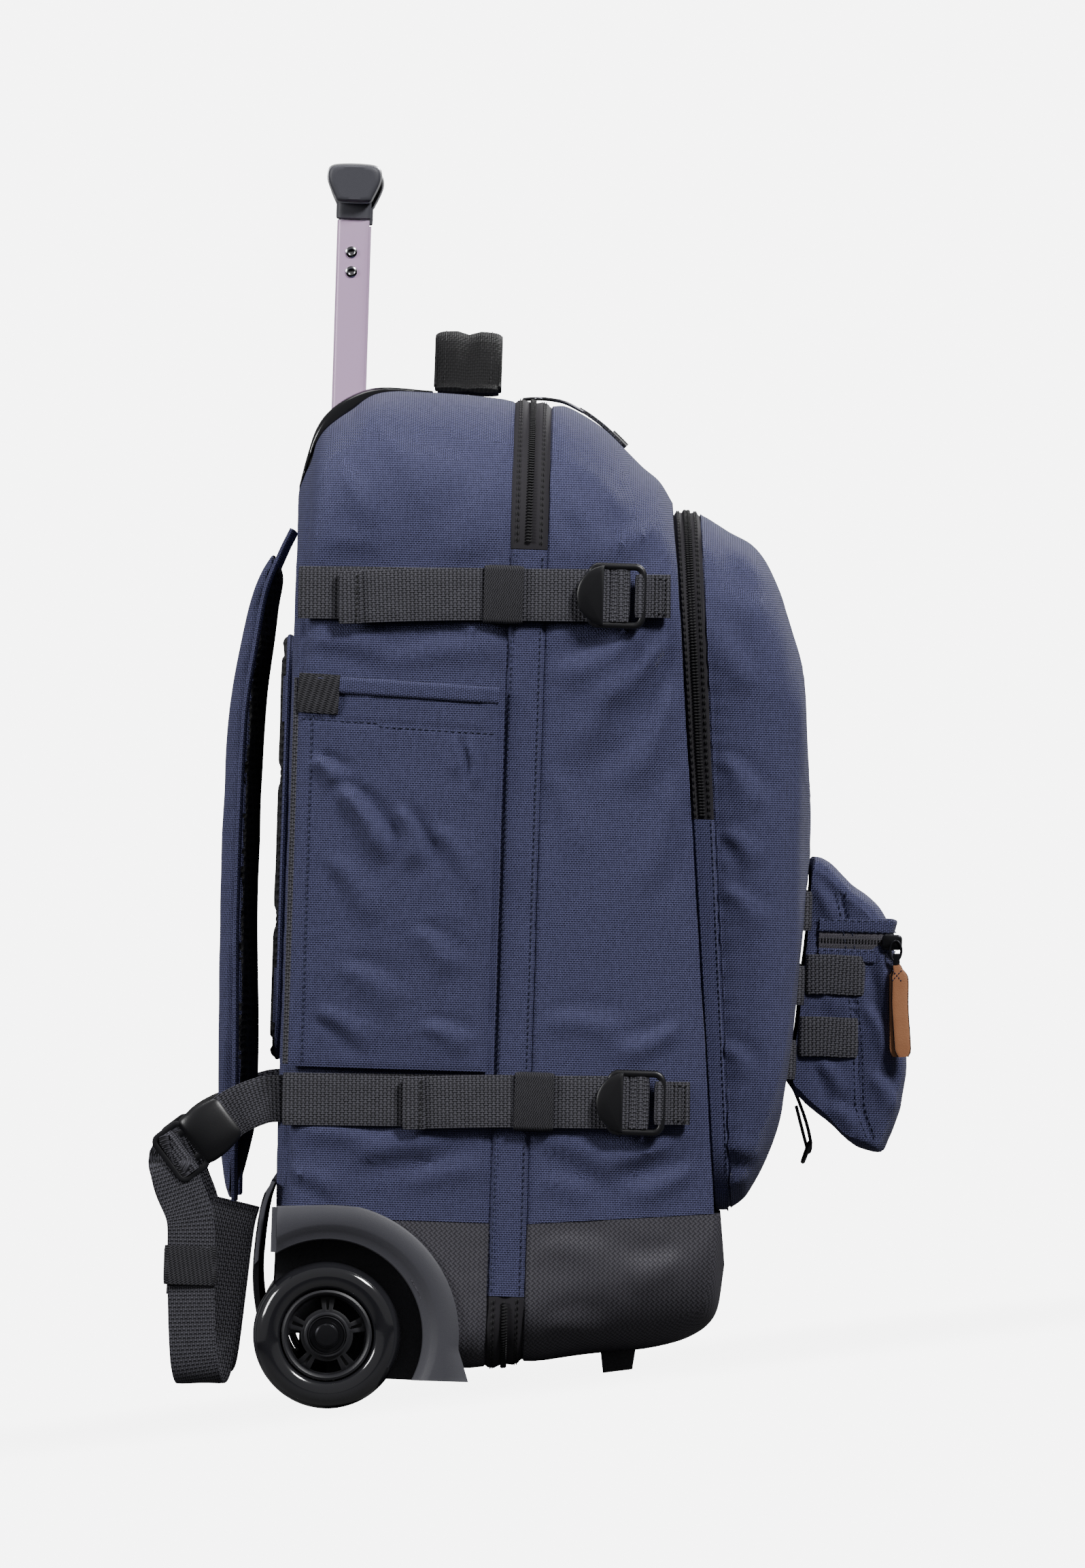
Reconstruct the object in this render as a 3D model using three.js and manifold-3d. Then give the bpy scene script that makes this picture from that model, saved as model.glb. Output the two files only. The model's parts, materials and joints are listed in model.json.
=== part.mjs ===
// Wheeled backpack: a cabin-size cloth pack on two inline wheels with a telescopic handle.
// Millimetres, +Z up, front of the bag towards -Y, width along X.
// The bag is drawn upright in its own frame: depth runs forward from the wheel axle and height
// runs up from the level of the tyre's lowest point. The whole bag then leans forward about the
// axle until its feet meet the ground.

import * as THREE from 'three';
import { mergeVertices } from 'three/addons/utils/BufferGeometryUtils.js';
import Module from 'manifold-3d';

const wasm = await Module();
wasm.setup();

// Clearances and walls
const gap = 0.3;
const cloth = 2;
const plastic = 2.5;
const webbing = 1.8;

// Body of the bag
const bodyTop = 552;
const halfWidth = 169;
const lowCorner = 45;
const highCorner = 85;
const rearPlane = 30;
const rearDepth = 116;
const gussetWidth = 20;
const frontLowDepth = 104;
const frontHighDepth = 67;
const baseProud = 4;
const seamHeight = 103;
const seamRise = 9;
const gussetZipTopEnd = 468;
const gussetZipLowEnd = 64;
const zipPullLength = 38;
const zipPullWidth = 9;
const zipPullThick = 2;
const zipPullPlace = 24;

// Front pocket
const pocketLow = 113.5;
const pocketHigh = 492;
const pocketHalf = 150;
const pocketLowCorner = 40;
const pocketHighCorner = 80;
const pocketGussetLow = 9;
const pocketGussetHigh = 14.5;
const pocketDepth = 50;
const pocketZipEnd = 325;

// Wheels
const tyreRadius = 40;
const tyreWidth = 24;
const tyreMiddle = 156;
const hubRadius = 24.5;
const hubWidth = 22;
const bearingRadius = 11.4;
const axleRadius = 4;
const axleHeadRadius = 6.4;
const axleHeadThick = 1.9;
const archRadius = 51.7;
const archCover = 19.8;
const housingInner = 136;
const housingRear = 29;
const housingTop = 109;
const housingLow = 17;

// Trolley handle
const tubeDepth = 17.5;
const tubeWidth = 13;
const tubeWall = 1.2;
const tubeMiddle = -5.2;
const tubeSpread = 75;
const innerTubeTop = 645;
const innerTubeLength = 512;
const outerTubeTop = 520;
const gripRise = 30;
const gripTop = innerTubeTop + gripRise;
const gripNeckDepth = 19;
const gripWideDepth = 28.6;
const gripHalf = 92;
const tongueLength = 40;
const buttonLength = 40;
const buttonWidth = 13;
const buttonProud = 1.8;
const buttonBevel = 1.5;
const buttonSunk = 1.5;
const buttonTravel = 3;
const trayHalf = 94;
const trayProud = 8.2;

// Feet
const footPlace = 158;
const footSpread = 95;
const footTall = 11.5;
const footDeep = 19;
const footWide = 22;

// Straps and buckles
const strapWidth = 28;
const upperStrapHeight = 441;
const lowerStrapHeight = 167;
const strapRise = 0.02;
const keeperWidth = 21;
const upperBuckleDepth = 144;
const lowerBuckleDepth = 160;
const buckleLength = 35;
const buckleRail = 3;
const anchorLength = 17;
const shoulderWidth = 66;
const shoulderThick = 17;
const shoulderSpread = 92;
const tailWidth = 25;
const stubLength = 25;
const socketLength = 27;
const plugLength = 16;
const loopDrop = 119;
const loopDepth = 35.3;
const loopSide = 39;

// Pouch
const pouchHalf = 92;
const pouchDepth = 61;
const pouchLow = 147;
const pouchTall = 158;
const pouchZipHeight = 261.5;
const pouchZipWide = 9;
const rowWide = 21;
const rowHalf = 96;
const ringTabWidth = 20;
const pouchPullLength = 62;
const pouchPullWidth = 9;
const pouchPullThick = 3;

// Side pocket, back pad and grab handle
const sidePocketLow = 185;
const sidePocketTop = 396;
const sidePocketRear = -26;
const sidePocketFront = 82;
const sidePocketBulge = 9;
const backPadLow = 188;
const backPadTop = 418;
const backPadHalf = 120;
const backPadThick = 6;
const grabHalf = 72;
const grabWidth = 36;
const grabRise = 33;
const grabThick = 7;
const grabPlace = 59.6;

// Middle of the whole bag's footprint, forward of the axle
const footprintMiddle = 125.5;

const finishes = {
  navy: { color: 0x2b3050, roughness: 0.85, metalness: 0 },
  coated: { color: 0x1c1c20, roughness: 0.6, metalness: 0 },
  strap: { color: 0x222226, roughness: 0.8, metalness: 0 },
  mesh: { color: 0x151518, roughness: 0.95, metalness: 0 },
  zip: { color: 0x18181b, roughness: 0.7, metalness: 0 },
  moulded: { color: 0x35353b, roughness: 0.55, metalness: 0 },
  gloss: { color: 0x0d0d10, roughness: 0.2, metalness: 0 },
  tyre: { color: 0x0c0c0e, roughness: 0.15, metalness: 0 },
  lilac: { color: 0xb9a3bd, roughness: 0.35, metalness: 0.85 },
  steel: { color: 0xb8b8bc, roughness: 0.3, metalness: 0.95 },
  leather: { color: 0xb07a56, roughness: 0.6, metalness: 0 },
};

const columns = (names, rows) => {
  const keys = names.split(' ');
  return rows.map((row) => Object.fromEntries(keys.map((key, i) => [key, row[i]])));
};

const mix = (from, to, share) => from + (to - from) * share;

// A point from its side place, its depth forward of the axle and its height
const place = (side, depth, height) => new THREE.Vector3(side, -depth, height);

// Closed geometry with merged corners and faces pointing out
function closed(geometry) {
  const bare = new THREE.BufferGeometry();
  bare.setAttribute('position', geometry.getAttribute('position').clone());
  if (geometry.index) bare.setIndex(geometry.index.clone());
  const merged = mergeVertices(bare, 1e-4);
  const p = merged.getAttribute('position');
  const index = Array.from(merged.index.array);
  const [a, b, c] = [new THREE.Vector3(), new THREE.Vector3(), new THREE.Vector3()];
  const kept = [];
  let volume = 0;
  for (let i = 0; i < index.length; i += 3) {
    const [u, v, w] = [index[i], index[i + 1], index[i + 2]];
    if (u === v || v === w || u === w) continue;
    a.fromBufferAttribute(p, u);
    b.fromBufferAttribute(p, v);
    c.fromBufferAttribute(p, w);
    volume += a.dot(b.cross(c));
    kept.push(u, v, w);
  }
  if (volume < 0) {
    for (let i = 0; i < kept.length; i += 3) [kept[i], kept[i + 1]] = [kept[i + 1], kept[i]];
  }
  merged.setIndex(kept);
  return merged;
}

function solid(geometry) {
  const whole = closed(geometry);
  return new wasm.Manifold(
    new wasm.Mesh({
      numProp: 3,
      vertProperties: new Float32Array(whole.getAttribute('position').array),
      triVerts: new Uint32Array(whole.index.array),
    }),
  );
}

const joined = (parts) => parts.reduce((whole, part) => whole.add(part));

// Rings of points skinned one to the next: the ends are capped, or the last ring meets the first.
// A folded ring runs out along one face of a sheet and back along the other, so its cap is a strip.
function skin(rings, { loop = false, folded = false } = {}) {
  const count = rings[0].length;
  const points = rings.flat();
  const faces = [];
  const bands = loop ? rings.length : rings.length - 1;
  for (let r = 0; r < bands; r += 1) {
    const near = r * count;
    const far = ((r + 1) % rings.length) * count;
    for (let i = 0; i < count; i += 1) {
      const j = (i + 1) % count;
      faces.push(near + i, near + j, far + j, near + i, far + j, far + i);
    }
  }
  const strip = (start, turned) => {
    for (let i = 0; i < count / 2 - 1; i += 1) {
      const [a, b, c, d] = [i, i + 1, count - 2 - i, count - 1 - i].map((n) => start + n);
      if (turned) faces.push(a, b, c, a, c, d);
      else faces.push(a, c, b, a, d, c);
    }
  };
  const cap = (ring, start, turned) => {
    if (folded) {
      strip(start, turned);
      return;
    }
    const middle = ring.reduce((sum, p) => sum.add(p), new THREE.Vector3());
    points.push(middle.divideScalar(count));
    const centre = points.length - 1;
    for (let i = 0; i < count; i += 1) {
      const j = (i + 1) % count;
      if (turned) faces.push(centre, start + i, start + j);
      else faces.push(centre, start + j, start + i);
    }
  };
  if (!loop) {
    cap(rings[0], 0, false);
    cap(rings.at(-1), (rings.length - 1) * count, true);
  }
  const geometry = new THREE.BufferGeometry().setFromPoints(points);
  geometry.setIndex(faces);
  return solid(geometry);
}

// Outline in depth and height, carried across the bag from one side place to another
function prism(outline, sideFrom, sideTo, holes = []) {
  const shape = new THREE.Shape(outline.map(([d, h]) => new THREE.Vector2(d, h)));
  for (const hole of holes) {
    shape.holes.push(new THREE.Path(hole.map(([d, h]) => new THREE.Vector2(d, h))));
  }
  const geometry = new THREE.ExtrudeGeometry(shape, {
    depth: Math.abs(sideTo - sideFrom),
    bevelEnabled: false,
    steps: 1,
  });
  const across = new THREE.Matrix4().set(
    0, 0, 1, Math.min(sideFrom, sideTo),
    -1, 0, 0, 0,
    0, 1, 0, 0,
    0, 0, 0, 1,
  );
  geometry.applyMatrix4(across);
  return solid(geometry);
}

const block = (sides, depths, heights) =>
  prism(
    [
      [depths[0], heights[0]],
      [depths[1], heights[0]],
      [depths[1], heights[1]],
      [depths[0], heights[1]],
    ],
    sides[0],
    sides[1],
  );

const arc = (radius, from, to, steps, depth = 0, height = tyreRadius) =>
  Array.from({ length: steps + 1 }, (_, i) => {
    const turn = mix(from, to, i / steps);
    return [depth + radius * Math.cos(turn), height + radius * Math.sin(turn)];
  });

const disc = (radius, steps = 30) => arc(radius, 0, 2 * Math.PI * (1 - 1 / steps), steps - 1);

// A line with a thickness, as a closed outline
function thickLine(line, thick) {
  const normals = line.map((_, i) => {
    const before = line[Math.max(i - 1, 0)];
    const after = line[Math.min(i + 1, line.length - 1)];
    const run = new THREE.Vector2(after[0] - before[0], after[1] - before[1]).normalize();
    return [-run.y, run.x];
  });
  const offset = (side) =>
    line.map(([u, v], i) => {
      const [across, up] = normals[i];
      return [u + (across * side * thick) / 2, v + (up * side * thick) / 2];
    });
  return [...offset(1), ...offset(-1).reverse()];
}

// A flat band that follows its rows: each row has its middle, the direction of its width,
// its width and its thickness
function band(rows) {
  const middles = rows.map((row) => place(...row.at));
  const rings = rows.map((row, i) => {
    const before = middles[Math.max(i - 1, 0)];
    const after = middles[Math.min(i + 1, rows.length - 1)];
    const run = after.clone().sub(before).normalize();
    const wide = place(...row.wide).normalize();
    wide.addScaledVector(run, -wide.dot(run)).normalize();
    const up = run.clone().cross(wide).normalize();
    const w = row.width / 2;
    const t = row.thick / 2;
    const corner = (a, b) => middles[i].clone().addScaledVector(wide, a).addScaledVector(up, b);
    if (!row.soft) return [corner(-w, -t), corner(w, -t), corner(w, t), corner(-w, t)];
    const edge = w - t * row.soft;
    return [
      corner(-edge, -t),
      corner(edge, -t),
      corner(w, 0),
      corner(edge, t),
      corner(-edge, t),
      corner(-w, 0),
    ];
  });
  return skin(rings);
}

// Bag sections

// Rounded section of the bag at one row: a ring of points whose depth changes with height
const cornerSteps = 5;
function sectionRing(row, inset = 0, shift = 0) {
  const half = row.half - inset;
  const low = row.bottom + inset;
  const high = row.top - inset;
  const lowRadius = Math.max(row.lowCorner - inset, 2);
  const highRadius = Math.max(row.highCorner - inset, 2);
  const ring = [];
  const corner = (side, height, radius, from) => {
    for (let i = 0; i <= cornerSteps; i += 1) {
      const turn = from + (i / cornerSteps) * (Math.PI / 2);
      ring.push([side + radius * Math.cos(turn), height + radius * Math.sin(turn)]);
    }
  };
  corner(half - highRadius, high - highRadius, highRadius, 0);
  ring.push([0, high]);
  corner(-half + highRadius, high - highRadius, highRadius, Math.PI / 2);
  ring.push([-half, (low + high) / 2]);
  corner(-half + lowRadius, low + lowRadius, lowRadius, Math.PI);
  ring.push([0, low]);
  corner(half - lowRadius, low + lowRadius, lowRadius, Math.PI * 1.5);
  ring.push([half, (low + high) / 2]);
  return ring.map(([side, height]) => {
    const share = (height - row.bottom) / (row.top - row.bottom);
    return place(side, mix(row.lowDepth, row.highDepth, share) + shift, height);
  });
}

// A cup of cloth: closed at the first row, open at the last
function cup(rows, shift) {
  const outer = rows.map((row) => sectionRing(row));
  const inner = rows.map((row, i) => sectionRing(row, cloth, i === rows.length - 1 ? 0 : shift));
  return skin([...outer, ...inner.reverse()]);
}

const hoop = (rows) =>
  skin(
    [...rows.map((row) => sectionRing(row)), ...rows.map((row) => sectionRing(row, cloth)).reverse()],
    { loop: true },
  );

// Lengths of a row of sections: sides by half the width, heights by the height of the bag,
// corners by the named corners
const sized = (row) => ({
  half: row.half * halfWidth,
  bottom: row.bottom * bodyTop,
  top: row.top * bodyTop,
  lowCorner: row.lowCorner * lowCorner,
  highCorner: row.highCorner * highCorner,
});

const rearRows = columns('depth half bottom top lowCorner highCorner', [
  [0, 0.93, 0.062, 0.9, 0.5, 0.78],
  [0.03, 0.965, 0.048, 0.922, 0.4, 0.8],
  [0.07, 0.985, 0.043, 0.946, 0.35, 0.8],
  [0.13, 1, 0.0435, 0.964, 0.3, 0.8],
  [0.235, 1, 0.0435, 0.981, 0.3, 0.8],
  [0.37, 1, 0.0435, 0.998, 0.3, 0.85],
  [0.65, 1, 0.0435, 1, 0.35, 0.95],
  [1, 1, 0.0435, 0.997, 0.6, 1],
]).map((row) => {
  const depth = -rearPlane + row.depth * rearDepth;
  return { ...sized(row), lowDepth: depth, highDepth: depth };
});

const frontStart = -rearPlane + rearDepth + gussetWidth;
const frontRows = (proud) =>
  columns('low high half bottom top lowCorner highCorner', [
    [1, 1, 0.965, 0.15, 0.9, 0.9, 0.9],
    [0.96, 0.89, 0.975, 0.103, 0.921, 1, 0.92],
    [0.84, 0.73, 0.985, 0.081, 0.9365, 1, 0.95],
    [0.65, 0.44, 0.995, 0.069, 0.969, 1, 0.98],
    [0.41, 0.15, 1, 0.0625, 0.9885, 1, 1],
    [0, 0, 1, 0.05, 0.993, 0.8, 1],
  ]).map((row) => ({
    ...sized(row),
    lowDepth: frontStart + row.low * (frontLowDepth + proud),
    highDepth: frontStart + row.high * frontHighDepth,
  }));

// Seam between the navy cloth and the coated base
const far = 1000;
const seamAt = (depth) => {
  const share = (depth - frontStart) / frontLowDepth;
  return seamHeight + seamRise * Math.max(share, 0);
};
const seamEnd = frontStart + frontLowDepth + baseProud;
const aboveSeam = () =>
  prism(
    [[-far, seamHeight + gap], [frontStart, seamHeight + gap], [seamEnd, seamAt(seamEnd) + gap],
      [far, seamAt(seamEnd) + gap], [far, far], [-far, far]],
    -far,
    far,
  );
const belowSeam = () =>
  prism(
    [[-far, -far], [far, -far], [far, seamAt(seamEnd)], [seamEnd, seamAt(seamEnd)],
      [frontStart, seamHeight], [-far, seamHeight]],
    -far,
    far,
  );
const between = (low, high) => block([-far, far], [-far, far], [low, high]);

// Inner tube outlines seen from above, used for the tubes and for the holes they pass through
const tubeHole = (side, spare, low, high) =>
  block(
    [side * tubeSpread - tubeWidth / 2 - spare, side * tubeSpread + tubeWidth / 2 + spare],
    [tubeMiddle - tubeDepth / 2 - spare, tubeMiddle + tubeDepth / 2 + spare],
    [low, high],
  );
const bothTubeHoles = (spare, low, high) => tubeHole(-1, spare, low, high).add(tubeHole(1, spare, low, high));

// Space that a wheel and its arch take out of the bag
const wheelSpace = (side, radius, sideFrom, sideTo) =>
  prism(disc(radius), side * sideFrom, side * sideTo).add(
    block([side * sideFrom, side * sideTo], [-2 * radius, 0], [-radius, tyreRadius + radius * 0.8]),
  );

const root = new THREE.Group();
function add(name, shape, finish) {
  const mesh = shape.getMesh();
  const geometry = new THREE.BufferGeometry();
  geometry.setAttribute('position', new THREE.BufferAttribute(new Float32Array(mesh.vertProperties), 3));
  geometry.setIndex(new THREE.BufferAttribute(new Uint32Array(mesh.triVerts), 1));
  const piece = new THREE.Mesh(geometry, new THREE.MeshStandardMaterial(finishes[finish]));
  piece.name = name;
  root.add(piece);
  return piece;
}
const sides = [['left', -1], ['right', 1]];

// Rear compartment and its base
const notch = archRadius + plastic + gap;
const rearCup = cup(rearRows, cloth);
const rearClear = rearRows.at(-1).lowDepth - gap;
const rearTrim = block([-far, far], [-far, rearClear], [-far, far]);
const tubeHolesFrom = bodyTop * 0.72;
const rearCloth = rearCup.intersect(aboveSeam()).intersect(rearTrim);
add('rear_shell', rearCloth.subtract(bothTubeHoles(cloth, tubeHolesFrom, far)), 'navy');
const wells = joined(sides.map(([, side]) => wheelSpace(side, notch, housingInner - gap, far)));
add('rear_base', rearCup.intersect(belowSeam()).intersect(rearTrim).subtract(wells), 'coated');

// Gusset between the compartments
const gussetRows = [
  { ...rearRows.at(-1) },
  { ...frontRows(0).at(-1), lowDepth: frontStart - gap, highDepth: frontStart - gap },
];
const gusset = hoop(gussetRows);
add('gusset_zip_top', gusset.intersect(between(gussetZipTopEnd + gap, far)), 'zip');
const gussetSides = gusset.intersect(between(gussetZipLowEnd, gussetZipTopEnd));
add('gusset_side_left', gussetSides.intersect(block([-far, 0], [-far, far], [-far, far])), 'navy');
add('gusset_side_right', gussetSides.intersect(block([0, far], [-far, far], [-far, far])), 'navy');
add('gusset_zip_bottom', gusset.intersect(between(-far, gussetZipLowEnd - gap)), 'zip');

// Front compartment and its base
add('front_shell', cup(frontRows(0), -cloth).intersect(aboveSeam()), 'navy');
add('front_base', cup(frontRows(baseProud), -cloth).intersect(belowSeam()), 'coated');

// Front pocket: its side strip sits on the front panel, its face is domed
const panel = frontRows(0)[0];
const panelAt = (height) =>
  mix(panel.lowDepth, panel.highDepth, (height - panel.bottom) / (panel.top - panel.bottom));
const pocketTall = pocketHigh - pocketLow;
const pocketBase = {
  half: pocketHalf,
  bottom: pocketLow,
  top: pocketHigh,
  lowCorner: pocketLowCorner,
  highCorner: pocketHighCorner,
};
const pocketBack = {
  ...pocketBase,
  lowDepth: panelAt(pocketLow) + gap,
  highDepth: panelAt(pocketHigh) + gap,
};
const pocketEdge = {
  ...pocketBase,
  lowDepth: pocketBack.lowDepth + pocketGussetLow,
  highDepth: pocketBack.highDepth + pocketGussetHigh,
};
const pocketStrip = hoop([
  pocketBack,
  { ...pocketEdge, lowDepth: pocketEdge.lowDepth - gap, highDepth: pocketEdge.highDepth - gap },
]);
add('pocket_zip', pocketStrip.intersect(between(pocketZipEnd + gap, far)), 'zip');
add('pocket_gusset', pocketStrip.intersect(between(-far, pocketZipEnd)), 'navy');

const pocketFront = mix(pocketEdge.lowDepth, pocketEdge.highDepth, 0.5) + pocketDepth;
const domeRows = columns('low high half bottom top corner', [
  [1, 0.99, 0.72, 0.46, 0.64, 0.3],
  [0.93, 0.915, 0.84, 0.36, 0.77, 0.45],
  [0.82, 0.81, 0.9, 0.23, 0.835, 0.6],
  [0.71, 0.67, 0.945, 0.135, 0.9, 0.75],
  [0.52, 0.48, 0.98, 0.075, 0.95, 0.9],
  [0.24, 0.22, 0.995, 0.022, 0.975, 1],
  [0, 0, 1, 0, 1, 1],
]).map((row) => ({
  half: row.half * pocketHalf,
  bottom: pocketLow + row.bottom * pocketTall,
  top: pocketLow + row.top * pocketTall,
  lowCorner: row.corner * pocketLowCorner,
  highCorner: row.corner * pocketHighCorner,
  lowDepth: mix(pocketEdge.lowDepth, pocketFront, row.low),
  highDepth: mix(pocketEdge.highDepth, pocketFront, row.high),
}));
add('front_pocket', cup(domeRows, -cloth), 'navy');
const domeAt = (height) => {
  const rows = [...domeRows].reverse();
  const upper = rows.findIndex((row) => row.bottom > height);
  if (upper < 1) return rows.at(upper).lowDepth;
  const [a, b] = [rows[upper - 1], rows[upper]];
  return mix(a.lowDepth, b.lowDepth, (height - a.bottom) / (b.bottom - a.bottom));
};

// Black moulded tray over the top rear edge, where the handle comes out
const trayEnd = grabPlace - grabWidth / 2 - 2 * gap;
const trayLine = rearRows.slice(0, 7).map((row) => [Math.min(row.highDepth, trayEnd), row.top]);
const trayUnder = trayLine.map(([d, h], i) => {
  const [before, after] = [trayLine[Math.max(i - 1, 0)], trayLine[Math.min(i + 1, trayLine.length - 1)]];
  const run = new THREE.Vector2(after[0] - before[0], after[1] - before[1]).normalize();
  return [d - run.y * gap * 1.5, h + run.x * gap * 1.5];
});
const trayRise = [0.3, 0.72, 1, 1.05, 1, 0.4, 0.12];
const trayOver = trayUnder.map(([d, h], i) => {
  const [before, after] = [trayUnder[Math.max(i - 1, 0)], trayUnder[Math.min(i + 1, trayLine.length - 1)]];
  const run = new THREE.Vector2(after[0] - before[0], after[1] - before[1]).normalize();
  return [d - run.y * trayProud * trayRise[i], h + run.x * trayProud * trayRise[i]];
});
const tray = prism([...trayUnder, ...trayOver.reverse()], -trayHalf, trayHalf);
add('handle_tray', tray.subtract(bothTubeHoles(gap * 1.5, tubeHolesFrom, far)), 'gloss');

// Curved plate across the bottom of the back, between and above the wheels
const plateLine = columns('depth height', [
  [0, 3.05],
  [0.14, 2.75],
  [0.22, 2.35],
  [0.26, 1.9],
  [0.24, 1.55],
  [0.16, 1.2],
  [0.05, 0.88],
  [-0.2, 0.5],
  [-0.66, 0.45],
  [-1.1, 0.45],
]).map((row) => [
  -rearPlane - gap - plastic / 2 - row.depth * rearPlane,
  row.height * tyreRadius,
]);
const plateHalf = halfWidth - 2 * cloth;
add('back_plate', prism(thickLine(plateLine, plastic), -plateHalf, plateHalf).subtract(wells), 'moulded');

// Wheel housings, axles and wheels
for (const [name, side] of sides) {
  const cover = archRadius + archCover;
  const outline = [
    [-housingRear, housingTop],
    [0, housingTop + 1.5],
    ...arc(cover, 1.35, -0.12, 9),
    [cover + 6, housingLow],
    [-housingRear, housingLow],
  ];
  const air = prism(disc(archRadius), side * far, side * (housingInner + plastic)).add(
    block([side * (housingInner + plastic), side * far], [-far, 0], [-far, tyreRadius]),
  );
  const keep = block([side * housingInner, side * far], [-housingRear, far], [housingLow, far]);
  const face = prism(outline, side * (halfWidth + gap), side * (halfWidth + gap + plastic));
  const ceiling = prism(disc(archRadius + plastic), side * housingInner, side * (halfWidth + gap + plastic));
  const rooted = side * (housingInner + plastic / 2);
  const hubInner = tyreMiddle - hubWidth / 2;
  const hubOuter = tyreMiddle + hubWidth / 2;
  const boss = prism(disc(bearingRadius * 0.65, 16), rooted, side * (hubInner - 1));
  const axle = prism(disc(axleRadius, 14), rooted, side * (hubOuter + 1));
  const headFrom = hubOuter + gap * 2;
  const head = prism(disc(axleHeadRadius, 14), side * headFrom, side * (headFrom + axleHeadThick));
  const housing = face.add(ceiling).subtract(air).intersect(keep);
  add(`wheel_housing_${name}`, joined([housing, boss, axle, head]), 'moulded');

  const profile = columns('out across', [
    [0.62, -0.5],
    [0.85, -0.5],
    [0.94, -0.4],
    [0.985, -0.23],
    [1, 0],
    [0.985, 0.23],
    [0.94, 0.4],
    [0.85, 0.5],
    [0.62, 0.5],
  ]).map((row) => new THREE.Vector2(row.out * tyreRadius, row.across * tyreWidth));
  const inner = hubRadius + gap;
  profile[0].x = inner;
  profile[profile.length - 1].x = inner;
  const tyreShape = new THREE.LatheGeometry([...profile, profile[0].clone()], 40);
  tyreShape.rotateZ(Math.PI / 2);
  tyreShape.translate(side * tyreMiddle, 0, tyreRadius);
  add(`tyre_${name}`, solid(tyreShape), 'tyre');

  const ring = (outer, hole, wide) =>
    prism(disc(outer), side * (tyreMiddle - wide / 2), side * (tyreMiddle + wide / 2), [disc(hole)]);
  const windows = Array.from({ length: 5 }, (_, i) => {
    const turn = Math.PI / 2 + ((i + 0.5) * 2 * Math.PI) / 5;
    const reach = 0.42;
    return [
      ...arc(hubRadius - 4, turn - reach, turn + reach, 4),
      ...arc(bearingRadius + 3, turn + reach * 0.75, turn - reach * 0.75, 3),
    ];
  });
  const web = prism(
    disc(hubRadius - 1),
    side * (tyreMiddle - hubWidth / 5),
    side * (tyreMiddle + hubWidth / 4),
    [...windows, disc(bearingRadius - 2)],
  );
  const hub = joined([
    ring(hubRadius, hubRadius - 3, hubWidth),
    web,
    ring(bearingRadius + 1, axleRadius + gap, hubWidth - 2),
  ]);
  add(`hub_${name}`, hub, 'moulded');
}

// Telescopic handle
for (const [name, side] of sides) {
  const innerTube = tubeHole(side, 0, innerTubeTop - innerTubeLength, innerTubeTop);
  const bore = tubeHole(side, -tubeWall, 0, far);
  add(`inner_tube_${name}`, innerTube.subtract(bore), 'lilac');
  const floor = rearRows.at(-1).bottom + cloth + gap;
  const outer = tubeHole(side, gap + 1.5, floor, outerTubeTop);
  add(`outer_tube_${name}`, outer.subtract(tubeHole(side, gap, 0, far)), 'moulded');
}
const gripOutline = columns('depth height', [
  [-0.34, -1.05],
  [-0.36, -0.9],
  [-0.5, -0.55],
  [-0.5, -0.2],
  [-0.34, 0],
  [0.34, 0],
  [0.5, -0.2],
  [0.5, -0.55],
  [0.36, -0.9],
  [0.34, -1.05],
]).map((row) => [tubeMiddle + row.depth * gripWideDepth, gripTop + row.height * gripNeckDepth]);
const gripBar = prism(gripOutline, -gripHalf, gripHalf);
const necks = sides.map(([, side]) =>
  joined([
    block(
      [side * (tubeSpread - tubeWidth / 2 - 2), side * (tubeSpread + tubeWidth / 2 + 2)],
      [tubeMiddle - gripNeckDepth / 2, tubeMiddle + gripNeckDepth / 2],
      [innerTubeTop + gap, gripTop - gripNeckDepth],
    ),
    tubeHole(side, -tubeWall - gap, innerTubeTop - tongueLength, innerTubeTop + 2),
  ]),
);
const buttonWell = block(
  [-buttonLength / 2 - gap, buttonLength / 2 + gap],
  [tubeMiddle - buttonWidth / 2 - gap, tubeMiddle + buttonWidth / 2 + gap],
  [gripTop - buttonSunk - buttonTravel - gap, gripTop + 1],
);
add('grip', joined([gripBar, ...necks]).subtract(buttonWell), 'gloss');
const buttonOutline = [
  [tubeMiddle - buttonWidth / 2, gripTop - buttonSunk],
  [tubeMiddle + buttonWidth / 2, gripTop - buttonSunk],
  [tubeMiddle + buttonWidth / 2, gripTop + buttonProud - buttonBevel],
  [tubeMiddle + buttonWidth / 2 - buttonBevel, gripTop + buttonProud],
  [tubeMiddle - buttonWidth / 2 + buttonBevel, gripTop + buttonProud],
  [tubeMiddle - buttonWidth / 2, gripTop + buttonProud - buttonBevel],
];
add('release_button', prism(buttonOutline, -buttonLength / 2, buttonLength / 2), 'gloss');

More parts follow.
